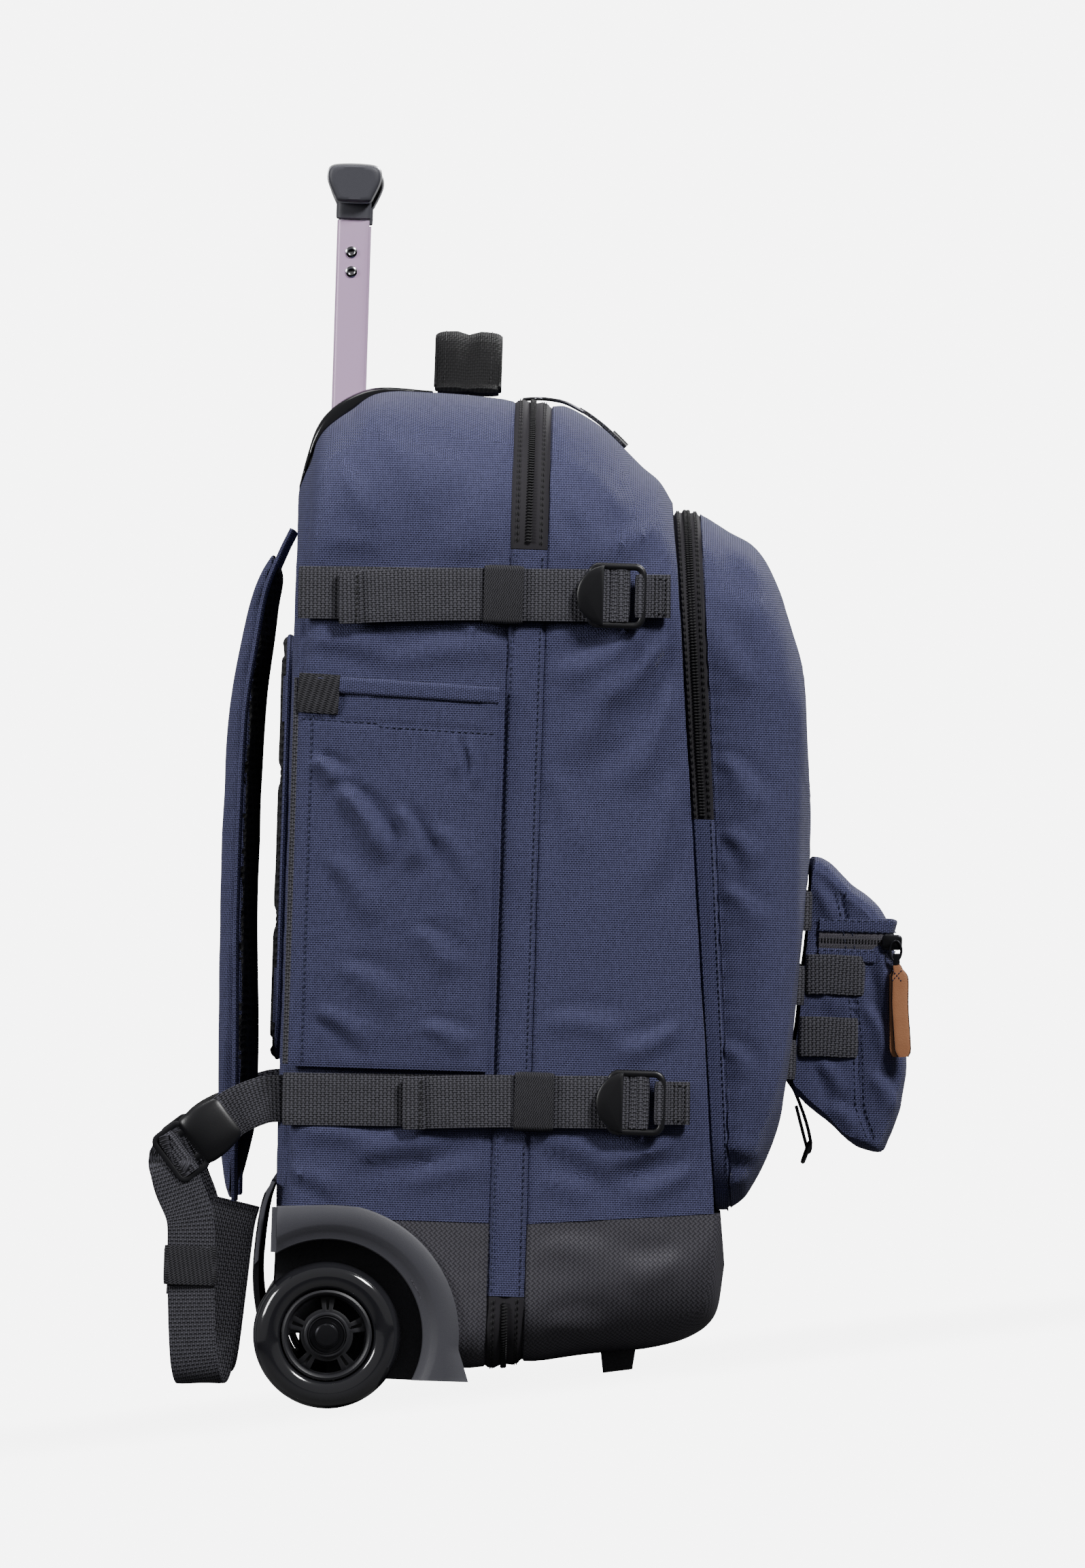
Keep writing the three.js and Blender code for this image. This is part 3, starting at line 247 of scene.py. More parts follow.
tyreRubber = mouldedMaterial("tyre", {"grain": 600.0, "colour": rgb("242428"), "pale": rgb("3a3a40"),
    "rough": 0.12, "depth": 0.00003, "coat": 1.0, "specular": 0.8, "edgePale": 0.1})
hubPlastic = mouldedMaterial("hub plastic", {"grain": 2600.0, "colour": rgb("232327"),
    "pale": rgb("46464c"), "rough": 0.45, "depth": 0.00015})
lilac = mouldedMaterial("lilac aluminium", {"grain": 4000.0, "colour": rgb("e2bfe6"), "pale": rgb("f0def2"),
    "rough": 0.3, "depth": 0.00003, "metal": 0.1})
steel = mouldedMaterial("plated steel", {"grain": 2000.0, "colour": rgb("b9b9bd"), "pale": rgb("dededf"),
    "rough": 0.22, "depth": 0.00003, "metal": 1.0})
darkSteel = mouldedMaterial("dark steel", {"grain": 2000.0, "colour": rgb("38383c"), "pale": rgb("7a7a80"),
    "rough": 0.3, "depth": 0.00003, "metal": 0.9})
silver = mouldedMaterial("silver trim", {"grain": 2000.0, "colour": rgb("c9c9cc"), "pale": rgb("e6e6e8"),
    "rough": 0.3, "depth": 0.00003, "metal": 0.6})
thread = mouldedMaterial("navy thread", {"grain": 3000.0, "colour": rgb("191d36"), "pale": rgb("2c3157"),
    "rough": 0.7, "depth": 0.0001})
blackThread = mouldedMaterial("black thread", {"grain": 3000.0, "colour": rgb("0d0d0f"),
    "pale": rgb("2a2a2d"), "rough": 0.7, "depth": 0.0001})
leather = leatherMaterial("tan leather", {"deep": rgb("9c6442"), "light": rgb("bf8660")})
print("materials made")

# Meshes are built in the bag's own frame in millimetres, and finishPiece carries them over

sharpAngle = 40


def smoothRows(rows, steps=6):
    # more rows between the given ones, on Catmull-Rom curves
    rows = np.asarray(rows, float)
    ends = np.vstack([2 * rows[0] - rows[1], rows, 2 * rows[-1] - rows[-2]])
    out = []
    for i in range(len(rows) - 1):
        a, b, c, d = ends[i:i + 4]
        for s in range(steps):
            t = s / steps
            out.append(0.5 * (2 * b + (c - a) * t + (2 * a - 5 * b + 4 * c - d) * t ** 2
                + (3 * b - a - 3 * c + d) * t ** 3))
    out.append(rows[-1])
    return np.array(out)


def linked(name, data):
    obj = bpy.data.objects.new(name, data)
    collection.objects.link(obj)
    return obj


def makeObject(name, points, faces, material):
    mesh = bpy.data.meshes.new(name)
    mesh.from_pydata(np.asarray(points, float).tolist(), [], faces)
    mesh.materials.append(material)
    return linked(name, mesh)


def getPoints(obj):
    flat = np.empty(len(obj.data.vertices) * 3)
    obj.data.vertices.foreach_get("co", flat)
    return flat.reshape(-1, 3)


def setPoints(obj, points):
    obj.data.vertices.foreach_set("co", np.asarray(points, float).ravel())
    obj.data.update()


def getNormals(obj):
    flat = np.empty(len(obj.data.vertices) * 3)
    obj.data.vertex_normals.foreach_get("vector", flat)
    return flat.reshape(-1, 3)


def tidyMesh(obj, merge=0.0):
    work = bmesh.new()
    work.from_mesh(obj.data)
    if merge:
        bmesh.ops.remove_doubles(work, verts=work.verts, dist=merge)
    bmesh.ops.recalc_face_normals(work, faces=work.faces)
    work.to_mesh(obj.data)
    work.free()


def faceNormals(obj):
    flat = np.empty(len(obj.data.polygons) * 3)
    obj.data.polygons.foreach_get("normal", flat)
    return flat.reshape(-1, 3)


def boxCloth(obj):
    # cloth coordinates in metres, laid on each face from the side that it looks to
    mesh = obj.data
    corners = np.empty(len(mesh.loops), np.int32)
    mesh.loops.foreach_get("vertex_index", corners)
    sizes = np.empty(len(mesh.polygons), np.int32)
    mesh.polygons.foreach_get("loop_total", sizes)
    look = np.repeat(np.argmax(np.abs(faceNormals(obj)), 1), sizes)
    p = getPoints(obj)[corners] * mm
    u = np.where(look == 0, p[:, 1], p[:, 0])
    v = np.where(look == 2, p[:, 1], p[:, 2])
    layer = mesh.uv_layers.get("cloth") or mesh.uv_layers.new(name="cloth")
    layer.data.foreach_set("uv", np.stack([u, v], 1).ravel())


def setCloth(obj, uv):
    corners = np.empty(len(obj.data.loops), np.int32)
    obj.data.loops.foreach_get("vertex_index", corners)
    layer = obj.data.uv_layers.new(name="cloth")
    layer.data.foreach_set("uv", np.asarray(uv, float)[corners].ravel())


def finishPiece(obj, body="bag", nodes=()):
    # into the shared frame, shaded, and on its body, hiding the nodes that it replaces
    if "cloth" not in obj.data.uv_layers:
        boxCloth(obj)
    setPoints(obj, toRow(getPoints(obj)))
    tidyMesh(obj)
    obj.data.shade_smooth()
    obj.data.set_sharp_from_angle(angle=math.radians(sharpAngle))
    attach(obj, body)
    if nodes:
        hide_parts(*nodes)
    return obj


def finishParts(name, parts, node=None, body="bag"):
    return finishPiece(joinPieces(name, parts), body, [node] if node else ())


def finishLook(node, parts):
    return finishParts(f"{node}_look", parts, node)


def evaluated(obj):
    graph = bpy.context.evaluated_depsgraph_get()
    return bpy.data.meshes.new_from_object(obj.evaluated_get(graph), preserve_all_data_layers=True,
        depsgraph=graph)


def bake(obj):
    # modifiers into the mesh
    mesh = evaluated(obj)
    obj.modifiers.clear()
    obj.data = mesh
    return obj


def addModifier(obj, kind, **settings):
    modifier = obj.modifiers.new(kind.lower(), kind)
    for key, value in settings.items():
        setattr(modifier, key, value)
    return modifier


def divided(obj):
    addModifier(obj, "SUBSURF", levels=1, render_levels=1)
    return bake(obj)


def boxShape(low, high):
    x, y, z = zip(low, high)
    points = [(x[i], y[j], z[k]) for i in (0, 1) for j in (0, 1) for k in (0, 1)]
    faces = [(0, 1, 3, 2), (4, 6, 7, 5), (0, 4, 5, 1), (2, 3, 7, 6), (0, 2, 6, 4), (1, 5, 7, 3)]
    return points, faces


def ringFaces(start, end, n):
    return [(start + i, start + (i + 1) % n, end + (i + 1) % n, end + i) for i in range(n)]


def loftFaces(count, n, closed=False):
    # faces between rings of n points each, laid one after another
    faces = []
    for i in range(count if closed else count - 1):
        faces += ringFaces(i * n, (i + 1) % count * n, n)
    return faces


def loft(name, rings, material):
    # rings of points joined up, with a flat face on both ends
    n, last = len(rings[0]), (len(rings) - 1) * len(rings[0])
    faces = [tuple(range(n)), tuple(range(last, last + n))] + loftFaces(len(rings), n)
    obj = makeObject(name, np.vstack(rings), faces, material)
    tidyMesh(obj)
    return obj


def prismShape(outline, low, high):
    # an outline in depth and height, carried from one side place to another
    n = len(outline)
    points = [(low, d, h) for d, h in outline] + [(high, d, h) for d, h in outline]
    faces = [tuple(range(n)), tuple(range(2 * n - 1, n - 1, -1))]
    faces += [(i, (i + 1) % n, (i + 1) % n + n, i + n) for i in range(n)]
    return points, faces


def cut(obj, shape, operation="DIFFERENCE"):
    tool = makeObject("cutter", *shape, obj.data.materials[0])
    tidyMesh(tool)
    addModifier(obj, "BOOLEAN", object=tool, operation=operation, solver="MANIFOLD")
    bake(obj)
    bpy.data.objects.remove(tool)
    return obj


def arcLine(radius, start, end, steps, d=0.0, h=40.0):
    return [(d + radius * math.cos(mix(start, end, i / steps)),
        h + radius * math.sin(mix(start, end, i / steps))) for i in range(steps + 1)]


def runLengths(line):
    return np.concatenate([[0], np.cumsum(np.linalg.norm(np.diff(line, axis=0), axis=1))])


def sweep(name, centres, wides, profile, material, closed=False):
    # a profile of (across, up) points carried along a line: scalars or one profile for each centre
    c = np.asarray(centres, float)
    w = np.asarray(wides, float)
    w = np.broadcast_to(w, c.shape).copy()
    before, after = np.roll(c, 1, 0), np.roll(c, -1, 0)
    if not closed:
        before[0], after[-1] = c[0], c[-1]
    run = after - before
    run /= np.linalg.norm(run, axis=1, keepdims=True)
    w -= run * np.sum(w * run, 1, keepdims=True)
    w /= np.linalg.norm(w, axis=1, keepdims=True)
    up = np.cross(run, w)
    profiles = np.asarray(profile, float)
    if profiles.ndim == 2:
        profiles = np.repeat(profiles[None], len(c), 0)
    n = profiles.shape[1]
    points = (c[:, None] + w[:, None] * profiles[..., :1] + up[:, None] * profiles[..., 1:]).reshape(-1, 3)
    faces = []
    last = len(c) if closed else len(c) - 1
    for i in range(last):
        k = (i + 1) % len(c)
        faces += [(i * n + j, i * n + (j + 1) % n, k * n + (j + 1) % n, k * n + j) for j in range(n)]
    if not closed:
        faces += [tuple(range(n)), tuple(range((len(c) - 1) * n, len(c) * n))]
    obj = makeObject(name, points, faces, material)
    setCloth(obj, np.stack([profiles[..., 0].ravel() * mm, np.repeat(runLengths(c), n) * mm], 1))
    return obj


def tapeProfile(width, thick, steps=8):
    # flat webbing: a thin oval section with square-ish edges
    a, t = width / 2, thick / 2
    across = np.linspace(-1, 1, steps + 1)
    edge = t * (1 - np.abs(across) ** 8 * 0.55)
    top = np.stack([across * a, edge], 1)
    return np.vstack([top, [[a + t * 0.25, 0]], (top * [1, -1])[::-1], [[-a - t * 0.25, 0]]])


def roundProfile(radiusA, radiusB, steps=12, power=2.0):
    t = np.arange(steps) / steps * 2 * math.pi
    ca, sa = np.cos(t), np.sin(t)
    return np.stack([radiusA * np.sign(ca) * np.abs(ca) ** (2 / power),
        radiusB * np.sign(sa) * np.abs(sa) ** (2 / power)], 1)


def tube(name, line, radius, material, steps=8, closed=False):
    c = np.asarray(line, float)
    run = c[-1] - c[0] if not closed else c[len(c) // 2] - c[0]
    wide = np.cross(run, [0.31, 0.52, 0.79])
    return sweep(name, c, wide, roundProfile(radius, radius, steps), material, closed=closed)


def joinPieces(name, objects):
    # several objects into one, each keeping its material
    work = bmesh.new()
    materials = []
    for obj in objects:
        start = len(work.faces)
        work.from_mesh(obj.data)
        work.faces.ensure_lookup_table()
        places = []
        for material in obj.data.materials:
            if material not in materials:
                materials.append(material)
            places.append(materials.index(material))
        for face in work.faces[start:]:
            face.material_index = places[face.material_index]
    mesh = bpy.data.meshes.new(name)
    work.to_mesh(mesh)
    work.free()
    for material in materials:
        mesh.materials.append(material)
    for obj in objects:
        bpy.data.objects.remove(obj)
    return linked(name, mesh)


# Small things that follow a line: stitches and coil teeth

def beadTree():
    tree = bpy.data.node_groups.new("beads along a line", "GeometryNodeTree")
    face = tree.interface
    face.new_socket("Geometry", in_out="INPUT", socket_type="NodeSocketGeometry")
    for name in ("Spacing", "Run", "Across", "Up"):
        face.new_socket(name, in_out="INPUT", socket_type="NodeSocketFloat")
    face.new_socket("Material", in_out="INPUT", socket_type="NodeSocketMaterial")
    face.new_socket("Geometry", in_out="OUTPUT", socket_type="NodeSocketGeometry")
    start = addNode(tree, "NodeGroupInput").outputs
    curve = addNode(tree, "GeometryNodeMeshToCurve", {0: start["Geometry"]}).outputs[0]
    even = addNode(tree, "GeometryNodeResampleCurve", {"Curve": curve, "Length": start["Spacing"]},
        mode="LENGTH")
    wide = addNode(tree, "GeometryNodeInputNamedAttribute", {0: "wide"}, data_type="FLOAT_VECTOR").outputs[0]
    run = addNode(tree, "GeometryNodeInputTangent").outputs[0]
    first = addNode(tree, "FunctionNodeAlignRotationToVector", {"Vector": run}, axis="X").outputs[0]
    turn = addNode(tree, "FunctionNodeAlignRotationToVector", {"Rotation": first, "Vector": wide}, axis="Y",
        pivot_axis="X").outputs[0]
    bead = addNode(tree, "GeometryNodeMeshUVSphere", {"Segments": 6, "Rings": 4, "Radius": 0.5})
    size = addNode(tree, "ShaderNodeCombineXYZ", {0: start["Run"], 1: start["Across"],
        2: start["Up"]}).outputs[0]
    copies = addNode(tree, "GeometryNodeInstanceOnPoints", {"Points": even.outputs[0],
        "Instance": bead.outputs["Mesh"], "Rotation": turn, "Scale": size})
    real = addNode(tree, "GeometryNodeRealizeInstances", {0: copies.outputs[0]})
    painted = addNode(tree, "GeometryNodeSetMaterial", {0: real.outputs[0], "Material": start["Material"]})
    finish = addNode(tree, "NodeGroupOutput")
    tree.links.new(painted.outputs[0], finish.inputs[0])
    return tree


beads = beadTree()


def lineObject(name, lines, wides):
    # open lines as loose edges, each point carrying the direction across the line
    points, edges, across = [], [], []
    if np.ndim(wides) == 1:
        wides = [wides] * len(lines)
    for line, wide in zip(lines, wides):
        start = len(points)
        line = np.asarray(line, float)
        points += line.tolist()
        across += np.broadcast_to(np.asarray(wide, float), line.shape).tolist()
        edges += [(start + i, start + i + 1) for i in range(len(line) - 1)]
    mesh = bpy.data.meshes.new(name)
    mesh.from_pydata(points, edges, [])
    layer = mesh.attributes.new("wide", "FLOAT_VECTOR", "POINT")
    layer.data.foreach_set("vector", np.asarray(across, float).ravel())
    return linked(name, mesh)


def beadsAlong(name, lines, wides, material, spacing, run, across, up):
    # the tree's result as a plain mesh in the bag's own frame
    obj = lineObject(name, lines, wides)
    modifier = addModifier(obj, "NODES", node_group=beads)
    values = {"Spacing": spacing, "Run": run, "Across": across, "Up": up, "Material": material}
    for item in beads.interface.items_tree:
        if item.in_out == "INPUT" and item.name in values:
            modifier[item.identifier] = values[item.name]
    mesh = evaluated(obj)
    bpy.data.objects.remove(obj)
    if not mesh.materials:
        mesh.materials.append(material)
    obj = linked(name, mesh)
    boxCloth(obj)
    return obj


stitchLook = {"spacing": 3.6, "run": 2.7, "across": 0.75, "up": 0.6}


def stitches(name, lines, wides, material=thread, **more):
    return beadsAlong(name, lines, wides, material, **{**stitchLook, **more})


print("helpers ready")

# Main compartments. Rows of a table are shares of the bag's named sizes

bag = {"foldShare": 2.9, "top": 552, "half": 169, "lowCorner": 45, "highCorner": 85, "rear": -30,
    "rearDepth": 116, "strip": 20, "frontLow": 104, "frontHigh": 67, "proud": 4, "seam": 103, "seamRise": 9,
    "cloth": 2, "zipTopEnd": 468, "zipLowEnd": 64}
ringCounts = {"corner": 16, "side": 110, "across": 60}
# depth, half, bottom, top, low corner, high corner
rearTable = [
    (0, .93, .062, .9, .5, .78), (.03, .965, .048, .922, .4, .8), (.07, .985, .043, .946, .35, .8),
    (.13, 1, .0435, .964, .3, .8), (.235, 1, .0435, .981, .3, .8), (.37, 1, .0435, .998, .3, .85),
    (.65, 1, .0435, 1, .35, .95), (1, 1, .0435, .997, .6, 1)]
# low depth, high depth, half, bottom, top, low corner, high corner
frontTable = [(0, 0, 1, .05, .993, .8, 1), (.41, .15, 1, .0625, .9885, 1, 1),
    (.65, .44, .995, .069, .969, 1, .98), (.84, .73, .985, .081, .9365, 1, .95),
    (.96, .89, .975, .103, .921, 1, .92), (1, 1, .965, .15, .9, .9, .9)]


def row(low, high, half, bottom, top, lowCorner, highCorner):
    return [low, high, half * bag["half"], bottom * bag["top"], top * bag["top"],
        lowCorner * bag["lowCorner"], highCorner * bag["highCorner"]]


def rearRow(depth, *rest):
    place = bag["rear"] + depth * bag["rearDepth"]
    return row(place, place, *rest)


frontStart = bag["rear"] + bag["rearDepth"] + bag["strip"]


def frontRow(low, high, *rest, proud=0.0):
    return row(frontStart + low * (bag["frontLow"] + proud), frontStart + high * bag["frontHigh"], *rest)


def sectionRing(r, inset=0.0):
    # a rounded section: over the top to the left, down, under and up the right side
    lowDepth, highDepth, half, bottom, top, lowCorner, highCorner = r
    lowCorner, highCorner = max(lowCorner - inset, 2), max(highCorner - inset, 2)
    side, low, high = half - inset, bottom + inset, top - inset

    def bend(x, h, radius, start):
        t = start + np.arange(ringCounts["corner"]) / ringCounts["corner"] * math.pi / 2
        return np.stack([x + radius * np.cos(t), h + radius * np.sin(t)], 1)

    def straight(a, b, n):
        t = np.arange(n)[:, None] / n
        return np.array(a) + (np.array(b) - np.array(a)) * t

    ring = np.vstack([
        straight((side - highCorner, high), (-side + highCorner, high), ringCounts["across"]),
        bend(-side + highCorner, high - highCorner, highCorner, math.pi / 2),
        straight((-side, high - highCorner), (-side, low + lowCorner), ringCounts["side"]),
        bend(-side + lowCorner, low + lowCorner, lowCorner, math.pi),
        straight((-side + lowCorner, low), (side - lowCorner, low), ringCounts["across"]),
        bend(side - lowCorner, low + lowCorner, lowCorner, math.pi * 1.5),
        straight((side, low + lowCorner), (side, high - highCorner), ringCounts["side"]),
        bend(side - highCorner, high - highCorner, highCorner, 0)])
    share = (ring[:, 1] - bottom) / (top - bottom)
    return np.stack([ring[:, 0], mix(lowDepth, highDepth, share), ring[:, 1]], 1)


capShares = (0.93, 0.84, 0.72, 0.58, 0.42, 0.26, 0.12)


def cupShape(rows, wall, crown=0.0):
    # a closed cup of cloth: outer face from its middle to the open edge, then the inner face back
    rings = [sectionRing(r) for r in rows]
    facing = np.sign(rings[-1][:, 1].mean() - rings[0][:, 1].mean())

    def face(ring, lift):
        middle = ring.mean(0)
        out = []
        for t in capShares[::-1]:
            p = middle + (ring - middle) * t
            p[:, 1] -= facing * (crown * (1 - t * t) - lift)
            out.append(p)
        middle = middle - [0, facing * (crown - lift), 0]
        return out, middle

    cap, capMiddle = face(rings[0], 0.0)
    inner = [sectionRing(r, wall) + [0, facing * wall, 0] for r in rows[:-1]]
    inner.append(sectionRing(rows[-1], wall))
    innerCap, innerMiddle = face(inner[0], wall)
    outerRings = cap + rings
    chain = outerRings + inner[::-1] + innerCap[::-1]
    n = len(rings[0])
    points = np.vstack(chain + [capMiddle[None], innerMiddle[None]])
    faces = loftFaces(len(chain), n)
    first, last = len(chain) * n, len(chain) * n + 1
    faces += [(first, (i + 1) % n, i) for i in range(n)]
    tail = (len(chain) - 1) * n
    faces += [(last, tail + i, tail + (i + 1) % n) for i in range(n)]
    outer = np.zeros(len(points), bool)
    outer[:len(outerRings) * n] = True
    outer[first] = True
    return points, faces, outer


def cloud(points, scale, seed):
    # smooth noise over points in millimetres
    offset = Vector((seed * 7.3, seed * 3.1, seed * 5.7))
    return np.array([noise.noise(Vector(p) / scale + offset) for p in points.tolist()])


def creases(points, scale, seed, stretch=(1, 1, 1)):
    # thin ridges where smooth noise passes through nought
    value = cloud(points * np.asarray(stretch), scale, seed)
    return hill(value, 0.09)


def folds(d, h, table):
    # folds drawn on a side panel: from, to, width, height and how far the fold leans over
    total = np.zeros_like(d)
    for d0, h0, d1, h1, width, height, leaning in table:
        run = np.array([d1 - d0, h1 - h0], float)
        length = np.hypot(*run)
        run /= length
        along = ((d - d0) * run[0] + (h - h0) * run[1]) / length
        bow = 0.06 * length * np.sin(np.clip(along, 0, 1) * math.pi)
        off = -(d - d0) * run[1] + (h - h0) * run[0] - bow
        wide = width * (0.6 + 0.7 * np.clip(along, 0, 1))
        ridge = hill(off, wide) - 0.55 * hill(off - wide * 1.25 * leaning, wide * 0.8)
        total += bag["foldShare"] * height * ridge * smooth(-0.06, 0.25, along) * smooth(1.08, 0.7, along)
    return total


def reliefOn(obj, outer, lift):
    # moves the outer face along its normals and the rest not at all
    points = getPoints(obj)
    moved = points + getNormals(obj) * (lift(points) * outer)[:, None]
    setPoints(obj, moved)


def seamPull(distance, depth, width):
    # cloth drops into a seam
    return -depth * np.exp(-(np.abs(distance) / width) ** 1.5)


def puckers(along, distance, pitch, height, reach, seed=0.0):
    # small gathers that run out from a sewn line
    wobble = np.sin(along / pitch * 2 * math.pi + 1.7 * np.sin(along / pitch * 0.9 + seed))
    return height * wobble * np.exp(-np.abs(distance) / reach)


# rows of folds: depth and height at both ends, width, height and lean
rearFolds = [
    (-8, 512, 12, 470, 7, 1.1, 1), (14, 530, 40, 486, 8, 1.2, -1), (30, 522, 62, 500, 9, 0.9, 1),
    (72, 512, 58, 474, 7, 0.9, -1), (-18, 470, 20, 466, 6, 0.7, 1), (82, 478, 50, 464, 6, 0.8, 1),
    (-22, 414, 24, 408, 6, 0.7, -1), (20, 404, 78, 414, 6, 0.9, 1), (60, 430, 84, 404, 5, 0.7, -1),
    (-20, 150, 30, 142, 6, 0.9, 1), (10, 134, 62, 146, 7, 1.1, -1), (40, 122, 82, 134, 6, 0.9, 1),
    (-24, 128, 6, 116, 5, 0.8, -1), (84, 196, 62, 214, 6, 0.5, 1)]
frontFolds = [
    (110, 520, 150, 486, 8, 1.1, 1), (112, 500, 140, 452, 7, 0.9, -1), (128, 536, 168, 500, 7, 0.8, -1),
    (166, 480, 132, 470, 6, 1.1, 1), (168, 500, 146, 470, 6, 0.9, -1), (112, 474, 132, 462, 5, 0.7, 1),
    (172, 424, 136, 384, 7, 1.4, 1), (160, 430, 112, 398, 7, 1.1, -1), (176, 398, 150, 340, 8, 1.1, -1),
    (150, 426, 120, 352, 9, 0.9, 1), (178, 348, 160, 282, 8, 0.7, 1), (108, 352, 128, 300, 8, 0.6, -1),
    (110, 214, 160, 206, 7, 0.7, 1), (186, 214, 150, 196, 6, 0.9, -1), (184, 150, 146, 140, 6, 1.1, 1),
    (112, 150, 160, 128, 7, 1.0, -1), (196, 138, 160, 120, 6, 0.9, -1), (112, 128, 140, 118, 5, 0.8, 1)]


def panelRelief(obj, table, edges, seed):
    side = smooth(0.5, 0.9, np.abs(getNormals(obj)[:, 0]))

    def lift(p):
        # the hidden side's folds are moved a little, so that the sides aren't mirror images
        d = p[:, 1] + np.where(p[:, 0] > 0, 4.0, 0.0)
        h = p[:, 2] + np.where(p[:, 0] > 0, 9.0, 0.0)
        soft = 1.3 * cloud(p, 70, seed) + 0.6 * cloud(p, 28, seed + 1)
        fine = 0.35 * creases(p, 46, seed + 2, (1, 1.0, 0.7)) * smooth(-0.1, 0.5, cloud(p, 90, seed + 3))
        total = soft * 0.75 + fine + folds(d, h, table) * side
        for edge, width in edges:
            gap = p[:, 1] - edge(p[:, 2])
            total += seamPull(gap, 1.5, width) + puckers(p[:, 2] + p[:, 0], gap, 13, 0.22, 9, seed)
        return total

    return lift


frontEdge = frontRow(*frontTable[-1])


def panelAt(h):
    # depth of the front panel at a height
    share = (h - frontEdge[3]) / (frontEdge[4] - frontEdge[3])
    return mix(frontEdge[0], frontEdge[1], share)


def seamAt(d):
    return bag["seam"] + bag["seamRise"] * np.maximum(d - frontStart, 0) / bag["frontLow"]


far = 900


def keepSide(obj, d0, d1, above, spare=0.3):
    # keeps the cloth above or below the seam of the base
    h0, h1 = (float(seamAt(d)) for d in (d0, d1))
    if above:
        outline = [(d0, h0 + spare), (d1, h1 + spare), (d1, far), (d0, far)]
    else:
        outline = [(d0, -far), (d1, -far), (d1, h1), (d0, h0)]
    return cut(obj, prismShape(outline, -far, far), "INTERSECT")


def makeShell(name, rows, seed, table, edges, material, above):
    points, faces, outer = cupShape(rows, bag["cloth"])
    obj = makeObject(name, points, faces, material)
    tidyMesh(obj)
    reliefOn(obj, outer, panelRelief(obj, table, edges, seed))
    return keepSide(obj, *((-60, frontStart) if rows[0][0] < 0 else (frontStart - 2, 260)), above)


rearRows = smoothRows([rearRow(*r) for r in rearTable], 6)
frontRows = smoothRows([frontRow(*r) for r in frontTable], 8)[::-1]
baseRows = smoothRows([frontRow(*r, proud=bag["proud"]) for r in frontTable], 8)[::-1]
rearEdges = [(lambda h: bag["rear"] + bag["rearDepth"] + 0 * h, 4.0),
    (lambda h: bag["rear"] + 5 + 0 * h, 2.5)]
frontEdges = [(lambda h: frontStart + 0 * h, 4.0)]

holeSize = {"spread": 75, "middle": -5.2, "wide": 17, "deep": 21.5}


def tubeHoles(obj, low, high):
    for side in (-1, 1):
        x, d = side * holeSize["spread"], holeSize["middle"]
        w, t = holeSize["wide"] / 2, holeSize["deep"] / 2
        cut(obj, boxShape((x - w, d - t, low), (x + w, d + t, high)))
    return obj


rearCloth = makeShell("rear_cloth", rearRows, 3, rearFolds, rearEdges, navy, True)
finishPiece(tubeHoles(rearCloth, 400, far), nodes=["rear_shell"])
frontCloth = makeShell("front_cloth", frontRows, 11, frontFolds, frontEdges, navy, True)
finishPiece(frontCloth, nodes=["front_shell"])
print("compartments made")

# Coated base below the seam, with the wheel wells cut out of the rear one

baseFolds = [(118, 52, 150, 40, 9, 0.7, 1), (190, 88, 160, 76, 9, 0.7, -1), (112, 92, 150, 86, 7, 0.5, 1)]
wellSize = {"radius": 54.5, "inner": 135.7}


def wellShapes(side):
    low, high = sorted((side * wellSize["inner"], side * far))
    r = wellSize["radius"]
    yield prismShape(arcLine(r, 0, 2 * math.pi, 40)[:-1], low, high)
    yield boxShape((low, -2 * r, -r), (high, 0, axle["radius"] + r * 0.8))


rearBase = makeShell("rear_base_cloth", rearRows, 5, baseFolds, rearEdges, coated, False)
for side in (-1, 1):
    for shape in wellShapes(side):
        cut(rearBase, shape)
finishPiece(rearBase, nodes=["rear_base"])
frontBase = makeShell("front_base_cloth", baseRows, 17, baseFolds, frontEdges, coated, False)
finishPiece(frontBase, nodes=["front_base"])
print("base made")


# Strips between the panels: each is a ring of cloth with a seam along both of its edges

def hoopShape(rows, wall):
    # the strip's edges are turned in under the panels beside it
    run = (np.array(rows[-1]) - np.array(rows[0]))[:2]
    run = run / np.abs(run).max()
    under = [np.array([*(np.array(rows[i][:2]) + run * reach), *rows[i][2:]])
        for i, reach in ((0, -2.4), (-1, 2.4))]
    rings = [sectionRing(under[0], wall * 1.6)] + [sectionRing(r)
        for r in rows] + [sectionRing(under[1], wall * 1.6)]
    rings += [sectionRing(under[1], wall * 2.2)] + [sectionRing(r, wall * 1.2) for r in rows[::-1]]
    rings += [sectionRing(under[0], wall * 2.2)]
    n = len(rings[0])
    faces = loftFaces(len(rings), n, True)
    outer = np.zeros(len(rings) * n, bool)
    outer[n:(len(rows) + 1) * n] = True
    across = np.zeros(len(rings) * n)
    across[n:(len(rows) + 1) * n] = np.repeat(np.arange(len(rows)) / (len(rows) - 1), n)
    return np.vstack(rings), faces, outer, across


def stripRows(first, last, steps=12):
    a, b = np.array(first, float), np.array(last, float)
    return [a + (b - a) * i / steps for i in range(steps + 1)]


def stripPiece(name, rows, keeps, material, shares, seed, lift=1.0):
    # shares are the places of seams and welts across the strip: place, width and height
    points, faces, outer, across = hoopShape(rows, bag["cloth"])
    obj = makeObject(name, points, faces, material)
    tidyMesh(obj)

    def raised(p):
        total = lift * (np.sin(np.clip(across, 0, 1) * math.pi) ** 0.5 - 0.8)
        for place, width, height in shares:
            total = total + height * hill(across - place, width)
        return total + 0.35 * cloud(p, 24, seed)

    reliefOn(obj, outer, raised)
    for low, high in keeps:
        cut(obj, boxShape(low, high), "INTERSECT")
    return obj


